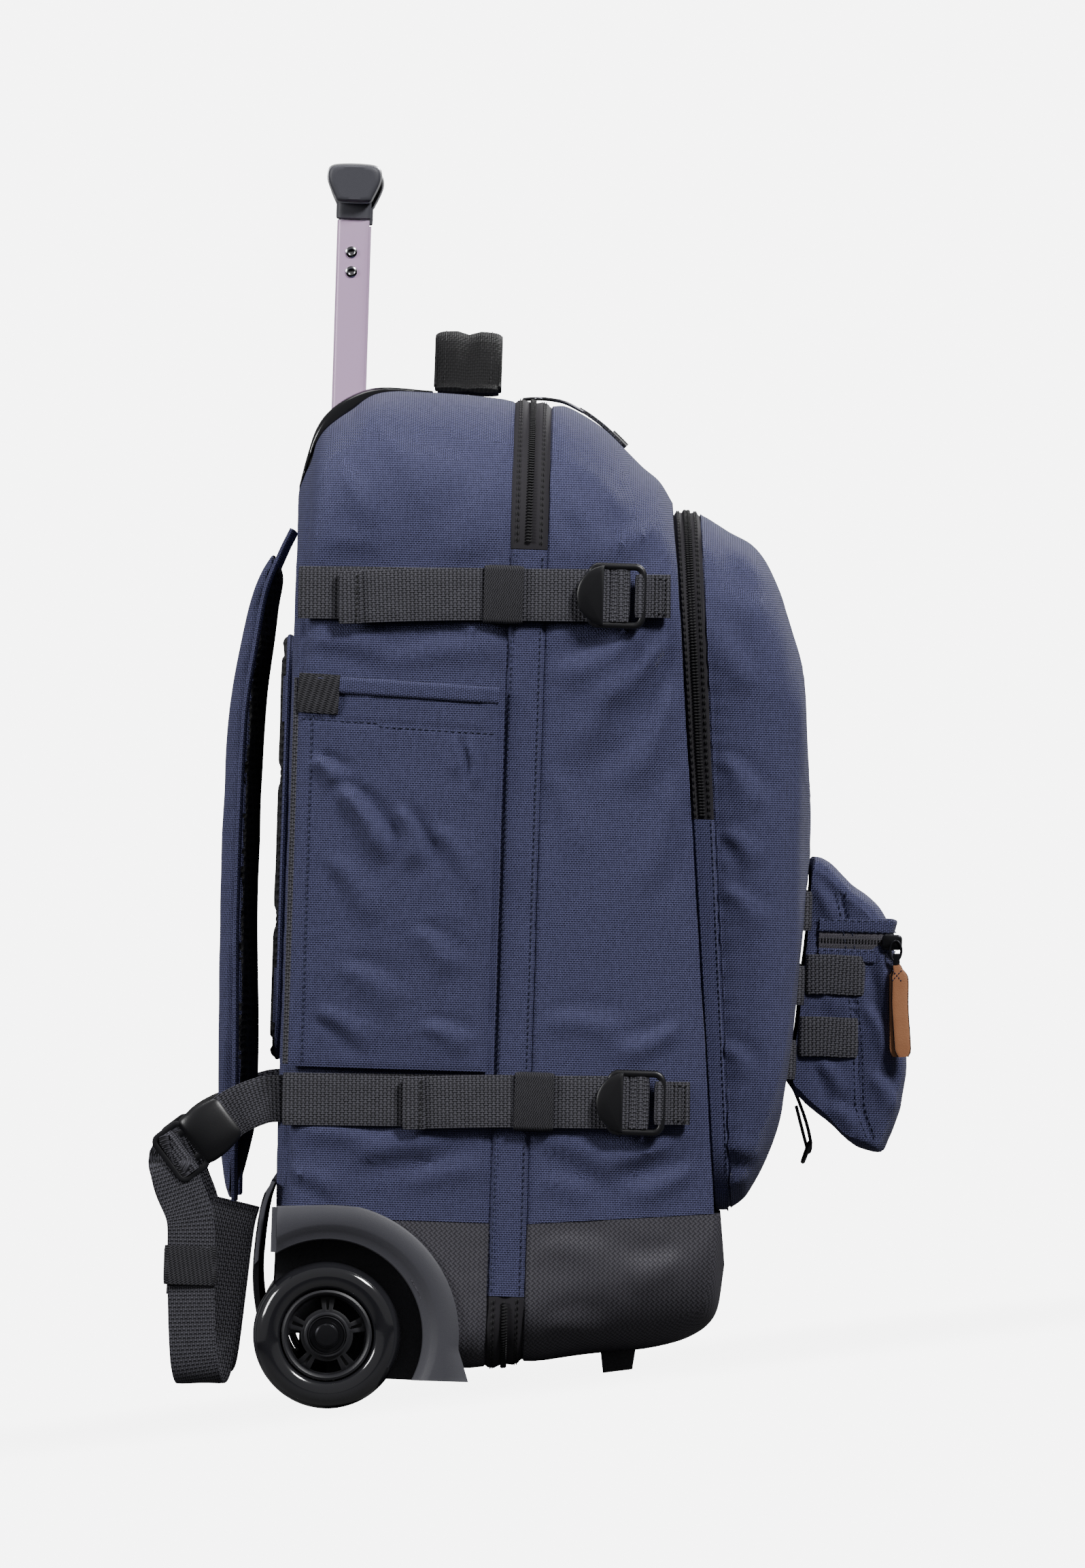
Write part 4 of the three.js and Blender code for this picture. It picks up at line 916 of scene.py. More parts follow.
gussetEnds = (rearRow(*rearTable[-1]), [frontStart - 0.3, frontStart - 0.3, *frontRow(*frontTable[0])[2:]])
gussetRows = stripRows(*gussetEnds)
seamWelts = [(0.0, 0.06, -0.9), (1.0, 0.06, -0.9), (0.13, 0.05, 0.35), (0.87, 0.05, 0.35)]
for name, x0, x1 in (("left", -far, 0), ("right", 0, far)):
    keepBox = ((x0, -far, bag["zipLowEnd"]), (x1, far, bag["zipTopEnd"]))
    strip = stripPiece(f"gusset_cloth_{name}", gussetRows, [keepBox], navy, seamWelts, 21)
    finishPiece(strip, nodes=[f"gusset_side_{name}"])


def lineAround(rows, share, proud, keep):
    # the line that runs round a strip at one share of its width, on its outer face
    a, b = np.array(rows[0]), np.array(rows[-1])
    ring = sectionRing(a + (b - a) * share)
    middle = ring.mean(0)
    tangent = np.roll(ring, -1, 0) - np.roll(ring, 1, 0)
    out = np.cross(tangent, [0, 1, 0])
    out /= np.linalg.norm(out, axis=1, keepdims=True)
    out *= np.sign(np.sum(out * (ring - middle), 1, keepdims=True))
    line = ring + out * proud
    inside = keep(ring)
    start = int(np.argmax(inside & ~np.roll(inside, 1)))
    order = np.roll(np.arange(len(line)), -start)
    inside = inside[order]
    parts, begin = [], 0
    for i, flag in enumerate(inside):
        if flag and (i == 0 or not inside[i - 1]):
            begin = i
        if flag and (i == len(inside) - 1 or not inside[i + 1]):
            if i - begin > 3:
                parts.append(line[order[begin:i + 1]])
    return parts


zipLook = {"tooth": 1.7, "run": 1.25, "across": 2.6, "up": 1.6, "offset": 1.15, "channel": 6.5}


def zipPiece(name, rows, keepBox, keep, node, seed):
    # a tape with a flat channel and two rows of coil teeth that mesh in its middle
    half = zipLook["channel"] / 2 / max(abs(rows[-1][0] - rows[0][0]), abs(rows[-1][1] - rows[0][1]))
    welts = [(0.5, half * 0.9, -1.0), (0.5 - half * 1.6, 0.06, 0.5), (0.5 + half * 1.6, 0.06, 0.5),
        (0.0, 0.05, -0.8), (1.0, 0.05, -0.8)]
    parts = [stripPiece(f"{name}_tape", rows, [keepBox], tape, welts, seed)]
    width = abs(rows[-1][0] - rows[0][0])
    for k, side in enumerate((-1, 1)):
        share = 0.5 + side * zipLook["offset"] / 2 / width
        lines = lineAround(rows, share, 0.6, keep)
        lines = [line[k:] if k else line for line in lines]
        parts.append(beadsAlong(f"{name}_teeth_{k}", lines, (0, 1, 0), blackThread, zipLook["tooth"],
            zipLook["run"], zipLook["across"], zipLook["up"]))
    for share in (0.14, 0.2, 0.8, 0.86):
        lines = lineAround(rows, share, 0.55, keep)
        parts.append(stitches(f"{name}_stitches", lines, (0, 1, 0), blackThread))
    return finishParts(name, parts, node)


zipPiece("main_zip", gussetRows, ((-far, -far, bag["zipTopEnd"] + 0.3), (far, far, far)),
    lambda ring: ring[:, 2] > bag["zipTopEnd"] + 2, "gusset_zip_top", 31)
zipPiece("low_zip", gussetRows, ((-far, -far, -far), (far, far, bag["zipLowEnd"] - 0.3)),
    lambda ring: ring[:, 2] < bag["zipLowEnd"] - 2, "gusset_zip_bottom", 33)
gussetSewn = []
for share in (0.1, 0.9):
    gussetSewn += lineAround(gussetRows, share, 0.45, lambda ring: (ring[:, 2] > bag["zipLowEnd"])
        & (ring[:, 2] < bag["zipTopEnd"]))
finishPiece(stitches("gusset_stitches", gussetSewn, (0, 1, 0)))
print("gusset made")


# Front pocket: a strip with its zip, and a domed face

pocket = {"low": 113.5, "high": 492, "half": 150, "lowCorner": 40, "highCorner": 80, "edgeLow": 9,
    "edgeHigh": 14.5, "depth": 50, "zipEnd": 325, "gap": 0.3}
# low depth, high depth, half, bottom, top, corner
domeTable = [
    (1, .99, .72, .46, .64, .3), (.93, .915, .84, .36, .77, .45), (.82, .81, .9, .23, .835, .6),
    (.71, .67, .945, .135, .9, .75), (.52, .48, .98, .075, .95, .9), (.24, .22, .995, .022, .975, 1),
    (0, 0, 1, 0, 1, 1)]
pocketTall = pocket["high"] - pocket["low"]


def pocketRow(lowLift, highLift):
    low, high = (panelAt(pocket[end]) + pocket["gap"] for end in ("low", "high"))
    return [low + lowLift, high + highLift, pocket["half"], pocket["low"], pocket["high"],
        pocket["lowCorner"], pocket["highCorner"]]


pocketEdge = pocketRow(pocket["edgeLow"], pocket["edgeHigh"])
pocketStrip = stripRows(pocketRow(0, 0), pocketRow(pocket["edgeLow"] - 0.3, pocket["edgeHigh"] - 0.3), 10)
pocketFront = (pocketEdge[0] + pocketEdge[1]) / 2 + pocket["depth"]


def domeRow(low, high, half, bottom, top, corner):
    return [mix(pocketEdge[0], pocketFront, low), mix(pocketEdge[1], pocketFront, high),
        half * pocket["half"], pocket["low"] + bottom * pocketTall, pocket["low"] + top * pocketTall,
        corner * pocket["lowCorner"], corner * pocket["highCorner"]]


domeRows = smoothRows([domeRow(*r) for r in domeTable], 7)
# rows of folds: depth and height at both ends, width, height and lean
pocketFolds = [
    (200, 474, 232, 452, 7, 1.0, 1), (196, 446, 226, 432, 7, 0.9, -1), (200, 420, 220, 396, 6, 0.8, 1),
    (204, 360, 224, 330, 7, 0.8, 1), (206, 320, 226, 300, 6, 0.8, -1), (204, 290, 230, 268, 6, 0.7, 1),
    (206, 206, 226, 186, 6, 0.6, 1), (210, 150, 236, 140, 6, 0.9, -1), (214, 128, 232, 134, 5, 0.8, 1)]


def makePocket():
    points, faces, outer = cupShape(domeRows, bag["cloth"], crown=1.5)
    obj = makeObject("pocket_cloth", points, faces, navy)
    tidyMesh(obj)
    normals = getNormals(obj)

    def lift(p):
        side = smooth(0.25, 0.7, np.abs(normals[:, 0]))
        edge = mix(pocketEdge[0], pocketEdge[1], (p[:, 2] - pocket["low"]) / pocketTall)
        gap = p[:, 1] - edge
        total = 0.9 * cloud(p, 60, 41) + 0.45 * cloud(p, 26, 42) + 0.3 * creases(p, 40, 43)
        total += folds(p[:, 1], p[:, 2], pocketFolds) * side
        return total + seamPull(gap, 1.4, 4) + puckers(p[:, 2] + p[:, 0] * 0.9, gap, 12, 0.35, 9, 1.0)

    reliefOn(obj, outer, lift)
    return finishPiece(obj, nodes=["front_pocket"])


makePocket()
lowStrip = stripPiece("pocket_gusset_cloth", pocketStrip, [((-far, -far, -far),
    (far, far, pocket["zipEnd"]))], navy, seamWelts, 45, 0.8)
finishPiece(lowStrip, nodes=["pocket_gusset"])


zipPiece("pocket_zip_run", pocketStrip, ((-far, -far, pocket["zipEnd"] + 0.3), (far, far, far)),
    lambda ring: ring[:, 2] > pocket["zipEnd"] + 2, "pocket_zip", 47)
pocketSewn = []
for share in (0.12, 0.88):
    pocketSewn += lineAround(pocketStrip, share, 0.4, lambda ring: ring[:, 2] < pocket["zipEnd"])
finishPiece(stitches("pocket_stitches", pocketSewn, (0, 1, 0)))
print("front pocket made")

# Webbing straps, their elastic keepers and ladder-lock buckles. Tracks are depths with the way outward

strap = {"wide": 28, "thick": 1.8, "upper": 441, "lower": 167, "rise": 0.02, "keeper": 21, "skin": 169.3,
    "anchorWide": 23}
# heights of the two straps, with the depths of the buckle, the tail's end and the keeper
strapPlaces = {
    "upper": {"height": strap["upper"], "buckle": 141.0, "tail": -4.6, "keeper": 83.0, "sag": 2.6},
    "lower": {"height": strap["lower"], "buckle": 160.0, "tail": 38.2, "keeper": 108.0, "sag": 1.6}}


strapWrap = [(-6, 0), (6, .2), (12.4, 2.1), (12.4, 5.4), (8.8, 7), (5.2, 5.4), (4.1, 3.4), (3, 5.4),
    (-.6, 7), (-4.2, 5.6), (-6.4, 3.4), (-12, 2.4)]
anchorWrap = [(3.6, .6), (-.9, 2.6), (-1.3, 5.6), (.8, 7.1), (3.4, 5.6), (5.6, 3), (9, 2.2)]


def ribbon(name, line, wide, width, thick, material, steps=6):
    line = smoothRows(line, steps)
    if np.ndim(wide) == 2:
        wide = smoothRows(wide, steps)
    return sweep(name, line, wide, tapeProfile(width, thick), material)


def roundedBox(d0, d1, h0, h1, radius, steps=5):
    # closed outline in depth and height
    out = []
    for cx, cy, start in ((d1 - radius, h1 - radius, 0), (d0 + radius, h1 - radius, 1),
            (d0 + radius, h0 + radius, 2), (d1 - radius, h0 + radius, 3)):
        out += arcLine(radius, start * math.pi / 2, (start + 1) * math.pi / 2, steps, cx, cy)
    return out


def slab(name, outline, low, high, material, edge=0.6, dome=0.0):
    # a plate with rounded rims from an outline in depth and height, its outer face domed
    o = np.array(outline, float)
    middle = o.mean(0)
    way = np.sign(high - low)
    layers = [(low, edge), (low + way * edge, 0), (high - way * edge, 0)]
    rings = []
    for x, inset in layers:
        reach = np.linalg.norm(o - middle, axis=1, keepdims=True)
        q = middle + (o - middle) * (1 - inset / np.maximum(reach, 1))
        rings.append(np.column_stack([np.full(len(q), x), q]))
    for t in (0.97, 0.9, 0.75, 0.5, 0.2):
        q = middle + (o - middle) * t
        bulge = way * dome * (1 - t * t)
        lift = high if t < 0.97 else high - way * edge * 0.3
        rings.append(np.column_stack([np.full(len(q), lift + bulge), q]))
    n = len(o)
    points = np.vstack(rings + [[[high + way * dome, *middle]]])
    faces = [tuple(range(n))] + loftFaces(len(rings), n)
    tail = (len(rings) - 1) * n
    faces += [(len(points) - 1, tail + i, tail + (i + 1) % n) for i in range(n)]
    return makeObject(name, points, faces, material)


def makeStrap(label, place, name, side):
    height, buckleAt = place["height"], place["buckle"]
    out = strap["skin"] + strap["thick"] / 2
    bar = buckleAt - 3.5
    rise = lambda d: height + strap["rise"] * (d + 30)
    keeper = place["keeper"]
    track = [(-27.5, -2.2), (-24, -0.3), (-10, 0.5), (20, 0.8), (60, 0.5), (100, 0.3)]
    track += [(bar + d, x) for d, x in strapWrap] + [(keeper + 13, 2.3), (keeper - 13, 2.5)]
    sag = [0.0] * len(track)
    end = place["tail"]
    endHeight = rise(end) - place["sag"]
    for share in (0.33, 0.66, 1.0):
        track.append((mix(keeper - 13, end, share), 2.6 + 1.3 * share))
        sag.append(place["sag"] * share ** 1.5)
    line = [(side * (out + x), d, rise(d) - s) for (d, x), s in zip(track, sag)]
    tilt = [(0, -0.048 * s, 1) for s in sag]
    parts = [ribbon("strap", line, tilt, strap["wide"], strap["thick"], webbing, 5)]
    hem = [(side * (out + x), end + d, rise(end) - place["sag"] * share)
        for x, d, share in ((4.4, -0.8, 1), (5.4, 1.2, 1), (5.3, 6, 0.9), (4.9, 10.7, 0.8))]
    parts.append(ribbon("hem", hem, (0, -0.1, 1), strap["wide"], strap["thick"], webbing, 4))
    sewn = [[(side * (out + 6.4), end + 8.6, mix(endHeight - 12, endHeight + 12, i / 10))
        for i in range(11)]]
    parts.append(stitches("sewn", sewn, (0, 1, 0), blackThread, spacing=2.9, run=2.3, across=1.1, up=0.8))
    box = roundedBox(-0.1, 5.4, -strap["wide"] / 2 - 1.3, strap["wide"] / 2 + 1.3, 2.0, 4)
    ring = [(side * (strap["skin"] + 0.2 + x), keeper, rise(keeper) + h) for x, h in box]
    parts.append(sweep("keeper", ring, (0, 1, 0), tapeProfile(strap["keeper"], 1.3), elastic, closed=True))
    finishLook(f"strap_{label}_{name}", parts)

    middle = rise(buckleAt)
    frameOut = out + 5.1
    half = strap["wide"] / 2 + 1.9
    box = roundedBox(bar - 7.6, buckleAt + 17.2, middle - half, middle + half, 4.6, 6)
    loop = [(side * frameOut, d, h) for d, h in box]
    parts = [sweep("frame", loop, (1, 0, 0), roundProfile(2.3, 1.9, 12, 2.8), buckle, closed=True)]
    for d in (bar - 0.4, bar + 8.8, bar + 3.9):
        rod = [(side * frameOut, d, middle + half * t) for t in (-1, -0.5, 0, 0.5, 1)]
        radii = (0.9, 0.7) if d == bar + 3.9 else (1.6, 1.3)
        parts.append(sweep("rod", rod, (0, 1, 0), roundProfile(*radii, 10, 2.6), buckle))
    tab = arcLine(half + 0.6, math.pi * 0.53, math.pi * 1.47, 26, bar + 1.4, middle)
    parts.append(slab("tab", tab, side * (frameOut + 0.2), side * (frameOut + 3.0), buckle, 0.9, 1.0))
    for d in (bar + 5.4, bar + 11.0):
        wrap = [(side * (frameOut + 0.4), d, middle + strap["wide"] / 2 * t) for t in np.linspace(-1, 1, 12)]
        parts.append(sweep("wrap", wrap, (0, 1, 0), roundProfile(2.5, 2.2, 16, 2.3), webbing))
    finishLook(f"buckle_{label}_{name}", parts)

    last = buckleAt + 15.2
    end = last + 17
    track = [(end, -0.6), (end - 8, 0)] + [(last + d, x) for d, x in anchorWrap] + [(end, 1.2)]
    line = [(side * (out + x), d, rise(d)) for d, x in track]
    parts = [ribbon("anchor", line, (0, 0, 1), strap["anchorWide"], strap["thick"], webbing, 5)]
    h0, h1 = rise(end) - strap["anchorWide"] / 2 + 2.2, rise(end) + strap["anchorWide"] / 2 - 2.2
    sewn = [[(side * (out + 3.1), d, mix(h0, h1, i / 8)) for i in range(9)] for d in (last + 8.6, end - 2.4)]
    sewn += [[(side * (out + 3.1), mix(last + 8.6, end - 2.4, i / 4), h) for i in range(5)]
        for h in (h0, h1)]
    wides = [(0, 1, 0), (0, 1, 0), (0, 0, 1), (0, 0, 1)]
    parts.append(stitches("sewn", sewn, wides, blackThread, spacing=2.6, run=1.9))
    finishLook(f"anchor_{label}_{name}", parts)


sides = (("left", -1), ("right", 1))
for label, place in strapPlaces.items():
    for name, side in sides:
        makeStrap(label, place, name, side)
print("straps made")


# Webbing and buckles that tie the shoulder straps to the lower corners

tie = {"wide": 25, "stub": 25, "socket": 27, "plug": 16, "drop": 119, "deep": 35.3, "side": 39, "keeper": 21}
stubTable = [(0.156, 0, 0, 0), (0.096, -0.32, -0.04, -0.1), (0, -0.72, -0.2, -0.4), (-0.12, -1, -0.36, -0.7)]
# inward, forward and down
loopTable = [(0, .335, .086), (.026, .364, .26), (.077, .393, .47), (.128, .436, .723), (.18, .48, .89),
    (.28, .538, .975), (.46, .595, 1), (.64, .682, .966), (.74, .74, .866), (.85, .827, .597),
    (.92, .913, .328), (1, 1, .21)]
slope = np.array([-0.78, -0.62]) / math.hypot(0.78, 0.62)


def makeTie(name, side):
    corner = rearTable[0][1] * bag["half"]
    start = (bag["rear"], strap["lower"])
    stub = [(side * (corner + r[0] * tie["stub"]), start[0] + r[1] * tie["stub"],
        start[1] + r[2] * tie["stub"]) for r in stubTable]
    stub = [(stub[0][0] - side * 1.0, start[0] + 3, start[1])] + stub
    wides = [(0, 0, 1)] + [(0, r[3], 1) for r in stubTable]
    last = np.array(stub[-1])
    stub.append(tuple(last + [0, slope[0] * 5, slope[1] * 5]))
    wides.append((0, slope[1], -slope[0]))
    finishLook(f"stub_{name}", [ribbon("stub", stub, wides, tie["wide"], strap["thick"], webbing)])

    out = corner + stubTable[-1][0] * tie["stub"] - 1

    def spot(run, lift=0.0):
        return (side * (out + lift), start[0] - tie["stub"] + slope[0] * run,
            start[1] + stubTable[-1][2] * tie["stub"] + slope[1] * run)

    wide = (0, slope[1], -slope[0])
    w = tie["wide"] / 2

    def domed(a, outer, inner, n=20):
        t = np.arange(n) / n * 2 * math.pi
        c, s = np.cos(t), np.sin(t)
        height = np.where(s > 0, outer, inner)
        return np.stack([a * np.sign(c) * np.abs(c) ** 0.8, height * np.sign(s) * np.abs(s) ** 0.75], 1)

    socketTable = [(1.6, .92, 2.2, 2.2), (2.4, 1.02, 3.2, 2.8), (6, 1.1, 4.2, 3.2), (12, 1.2, 5.4, 3.8),
        (18, 1.24, 6.2, 4.0), (23, 1.22, 6.2, 4.0), (25.6, 1.17, 5.4, 3.8), (26.8, 1.08, 4.2, 3.2)]
    flip = -side if np.cross([0, slope[0], slope[1]], wide)[0] > 0 else side
    profiles = [domed(r[1] * w, r[2], r[3]) * ([1, 1] if flip < 0 else [1, -1]) for r in socketTable]
    socket = divided(sweep("socket", [spot(r[0]) for r in socketTable], wide, profiles, buckle))
    finishLook(f"buckle_socket_{name}", [socket])

    begin = tie["socket"] + 0.3
    across = np.array(wide) / np.linalg.norm(wide)
    box = roundedBox(begin - 1.5, begin + tie["plug"], -w * 1.12, w * 1.12, 3.4, 5)
    rim = [np.array(spot(run)) + across * a for run, a in box]
    parts = [sweep("plug", rim, (1, 0, 0), roundProfile(2.4, 1.7, 10, 2.6), buckle, closed=True)]
    rod = [np.array(spot(begin + 8)) + across * a * w for a in (-1.05, -0.5, 0, 0.5, 1.05)]
    parts.append(sweep("rod", rod, (1, 0, 0), roundProfile(1.7, 1.7, 10), buckle))
    for a in (-0.62, 0.62):
        prong = [np.array(spot(run)) + across * a * w for run in (begin - 2.5, begin + 1, begin + 3)]
        parts.append(sweep("prong", prong, (1, 0, 0), roundProfile(1.6, 1.9, 8, 3), buckle))
    finishLook(f"buckle_plug_{name}", parts)

    end = np.array(spot(begin + tie["plug"]))
    bar = np.array(spot(begin + 8))
    lead = np.array([0, slope[0], slope[1]])
    outward = np.array([side, 0, 0])
    wrap = [bar - lead * 1.0 - outward * 3.0, bar - lead * 3.2, bar - lead * 1.2 + outward * 3.0,
        bar + lead * 3.4 + outward * 2.6, bar + lead * 6.4 + outward * 0.6]
    loop = [end + [-side * r[0] * tie["side"], r[1] * tie["deep"], -r[2] * tie["drop"]] for r in loopTable]
    line = wrap + [mix(wrap[-1], loop[1], 0.45)] + loop[1:]
    lay = np.array([0.05 * side, 1, 0.06])
    start = across * np.sign(across @ lay)
    wides = [start] * len(wrap) + [start + lay] + [lay] * (len(loop) - 1)
    parts = [ribbon("loop", line, wides, tie["wide"], strap["thick"], webbing)]
    back = [bar - outward * 2.6 - lead, bar + lead * 5 - outward * 1.6,
        mix(end, loop[1], 0.4) - outward * 2.2, loop[1] - outward * 2.2, loop[2] - outward * 2.2,
        loop[2] - [side * 2.2, 0, 16]]
    parts.append(ribbon("tail", back, [start] * 2 + [lay] * 4, tie["wide"], strap["thick"], webbing))
    box = roundedBox(-3.4, 1.6, -tie["wide"] / 2 - 1.4, tie["wide"] / 2 + 1.4, 1.6, 4)
    ring = [loop[2] + [side * x, h, 0.0] for x, h in box]
    parts.append(sweep("keeper", ring, (0, 0, 1), tapeProfile(tie["keeper"], 1.3), elastic, closed=True))
    finishLook(f"tail_loop_{name}", parts)


for name, side in sides:
    makeTie(name, side)
print("ties made")

# Pouch with its zip, pulls and bands, the webbing rows behind it and the side pockets

pouch = {"half": 92, "depth": 61, "low": 147, "tall": 158, "zip": 261.5, "rowWide": 21, "rowHalf": 96,
    "rows": (277, 236.5, 196), "bands": (242.7, 208.8)}
pouchTable = [(0, 1), (.1, .995), (.23, .955), (.36, .91), (.5, .875), (.64, .825), (.76, .73), (.86, .575),
    (.92, .46), (1, .3), (.985, .2), (.95, .12), (.88, .04), (.82, 0), (.65, .01), (.53, .035), (.38, .09),
    (.24, .13), (.1, .175), (0, .24), (0, .56), (0, .88)]
pouchEnds = [(-1, .86), (-.985, .9), (-.96, .95), (-.91, .985), (-.85, 1)]
pouchSeam = [(271.5, 287), (275.9, 265), (277.7, 254), (279.8, 232.5), (283.4, 200.6), (285.4, 172.7),
    (291.4, 156)]
pouchFolds = [(256, 292, 268, 270, 5, 0.9, 1), (290, 262, 304, 232, 6, 1.0, 1),
    (262, 232, 272, 222, 4, 0.5, -1), (286, 228, 300, 196, 5, 0.9, 1), (262, 196, 276, 176, 5, 0.8, -1),
    (290, 190, 306, 168, 6, 1.0, 1), (268, 172, 284, 160, 5, 0.7, 1), (292, 250, 298, 214, 5, 0.7, -1)]
alongDome = domeRows[::-1]


def rowDepth(h):
    return np.interp(h, alongDome[:, 3], alongDome[:, 0]) + 1.2


def pouchBack(h):
    return rowDepth(h) + 2.1


def closedSmooth(points, steps):
    p = np.array(points, float)
    rows = smoothRows(np.vstack([p[-2:], p, p[:2]]), steps)
    return rows[2 * steps:-(2 * steps) + steps - 1][:len(p) * steps]


def pouchRing(across, size, shrink=1.0):
    o = closedSmooth(pouchTable, 4)
    centre = np.array([0.5, 0.5])
    o = centre + (o - centre) * shrink
    h = pouch["low"] + pouch["tall"] * (0.5 + (o[:, 1] - 0.5) * mix(1, size, 0.6))
    back = pouchBack(np.maximum(h, pouch["low"] + 0.24 * pouch["tall"]))
    return np.column_stack([np.full(len(o), across * pouch["half"]), back + o[:, 0] * pouch["depth"] * size,
        h])


def makePouch():
    ends = smoothRows(pouchEnds, 3)
    middle = [(t, 1) for t in np.linspace(-0.85, 0.85, 44)[1:-1]]
    sections = [*ends, *middle, *(ends[::-1] * [-1, 1])]
    caps = np.linspace(0.97, 0.08, 18)
    rings = [pouchRing(-1.0, .86, t) for t in caps[::-1]] + [pouchRing(a, s) for a, s in sections]
    rings += [pouchRing(1.0, .86, t) for t in caps]
    n = len(rings[0])
    points = np.vstack(rings + [[rings[0].mean(0)], [rings[-1].mean(0)]])
    faces = loftFaces(len(rings), n)
    last = (len(rings) - 1) * n
    faces += [(len(points) - 2, (j + 1) % n, j) for j in range(n)]
    faces += [(len(points) - 1, last + j, last + (j + 1) % n) for j in range(n)]
    obj = makeObject("pouch_cloth", points, faces, navy)
    tidyMesh(obj)
    normals = getNormals(obj)
    seam = smoothRows(pouchSeam, 6)

    def lift(p):
        side = smooth(0.35, 0.8, np.abs(normals[:, 0]))
        front = smooth(0.2, 0.6, normals[:, 1])
        gaps = np.min(np.hypot(p[:, 1:2] - seam[:, 0], p[:, 2:3] - seam[:, 1]), 1)
        total = 0.7 * cloud(p, 34, 51) + 0.35 * cloud(p, 15, 52) + 0.25 * creases(p, 26, 53)
        total += folds(p[:, 1], p[:, 2], pouchFolds) * side - 1.1 * side * hill(gaps, 1.3)
        total += 1.3 * side * hill(gaps - 5, 6) * 0.6
        total -= 1.6 * hill(p[:, 2] - pouch["zip"], 4) * np.maximum(side, front)
        total += front * 1.4 * np.sin(p[:, 0] / 21 + p[:, 2] / 17) * 0.5
        return total

    reliefOn(obj, np.ones(len(points), bool), lift)
    finishPiece(obj, nodes=["pouch"])
    sewn = []
    for x in (-1, 1):
        for offset in (-2.4, 2.4):
            sewn.append([(x * (pouch["half"] + 0.9), d + offset, h) for d, h in seam])
    finishPiece(stitches("pouch_stitches", sewn, (0, 1, 0)))


def pouchLine(h, proud, backShare=0.1):
    # round the side, front and other side of the pouch at one height
    back = pouchBack(h)
    table = np.array(pouchTable[4:11], float)
    share = np.interp((h - pouch["low"]) / pouch["tall"], table[::-1, 1], table[::-1, 0])
    reach = share * pouch["depth"]
    half = pouch["half"] + proud
    corner = [(-half, back + backShare * pouch["depth"]), (-half, back + reach * 0.45),
        (-half, back + reach * 0.76), (-half * 0.975, back + reach * 0.925 + proud),
        (-half * 0.92, back + reach * 0.985 + proud), (-half * 0.84, back + reach + proud),
        (-half * 0.5, back + reach + proud)]
    line = corner + [(0, back + reach + proud)] + [(-x, d) for x, d in corner[::-1]]
    return [(x, d, h) for x, d in line]


def makePouchZip():
    h = pouch["zip"]
    line = smoothRows(pouchLine(h, 0.2), 8)
    parts = [ribbon("tape", pouchLine(h, 0.1), (0, 0.0, 1), 9.4, 1.4, tape, 8)]
    for lift in (-1.15, 1.15):
        parts.append(beadsAlong("teeth", [line + [0, 0, lift / 2]], (0, 0, 1), blackThread,
            zipLook["tooth"], zipLook["run"], 2.4, 2.6))
    finishParts("pouch_zip_run", parts, "pouch_zip")
    bands = []
    for lift in (-8.2, 8.2):
        flap = [(x, d, z + lift) for x, d, z in pouchLine(h, 0.7)]
        bands.append(ribbon("flap", flap, (0, 0.25 * np.sign(lift), 1), 7.4, 1.6, navy, 8))
        for edge in (-2.9, 2.9):
            bands.append(stitches("sewn", [smoothRows(pouchLine(h, 1.5)) + [0, 0, lift + edge]], (0, 0, 1)))
    finishParts("pouch_zip_flaps", bands)


def makeLeatherPull():
    x = -(pouch["half"] + 2.4)
    d = pouchBack(pouch["zip"]) + 0.76 * pouch["depth"]
    h = pouch["zip"]
    box = roundedBox(d - 6, d + 5, h - 4.2, h + 4.2, 2.4, 5)
    parts = [slab("slider", box, x + 0.6, x - 2.2, darkSteel, 0.6, 0.6)]
    ring = [(x - 2.8, d + 1.6 + 3.0 * math.cos(t), h - 4.6 + 5.4 * math.sin(t))
        for t in np.linspace(0, 2 * math.pi, 21)[:-1]]
    parts.append(tube("ring", ring, 0.75, darkSteel, 8, closed=True))
    bar = [(x - 2.8, d + 1.8 + t * 0.6, h - 6 - 9 * t) for t in np.linspace(0, 1, 8)]
    parts.append(sweep("bar", bar, (0, 1, 0), roundProfile(1.9, 0.8, 12, 3), darkSteel))
    for lift, turn in ((0.0, 0.0), (-2.3, 1.6)):
        track = [(x - 2.8 + lift, d + 2.3, h - 12.5), (x - 3.2 + lift, d + 2.8 + turn, h - 20),
            (x - 3.4 + lift, d + 3.2 + turn, h - 34), (x - 3.0 + lift, d + 3.9 + turn * 1.5, h - 50),
            (x - 2.4 + lift, d + 4.2 + turn * 2, h - 62)]
        line = smoothRows(track, 5)
        shares = np.linspace(0, 1, len(line))
        wide = 8.6 * np.interp(shares, [0, .1, .2, .9, .97, 1], [.5, .62, 1, 1, .86, .6])
        profiles = [roundProfile(w / 2, 1.05, 14, 5) for w in wide]
        parts.append(sweep("leather", line, (0, 1, 0.05), profiles, leather))
        for sign in (-1, 1):
            parts.append(sweep("rim", line + np.outer(wide / 2 * sign, [0, 1, 0]), (1, 0, 0),
                roundProfile(0.95, 0.35, 8), blackThread))
    cross = [[(x - 6.6, d + 2.6 + a * s, h - 18 + b) for a, b in ((-2.2, -2.6), (0, 0), (2.2, 2.6))]
        for s in (-1, 1)]
    parts.append(stitches("cross", cross, (0, 1, 0), thread, spacing=1.5, run=1.1))
    finishLook("pouch_pull", parts)


bandTable = [(-2.4, 1, 0), (0, 3, 0), (.5, 14, .3), (.4, 24, 0), (0, 31, 0), (-1.6, 32.6, 0)]


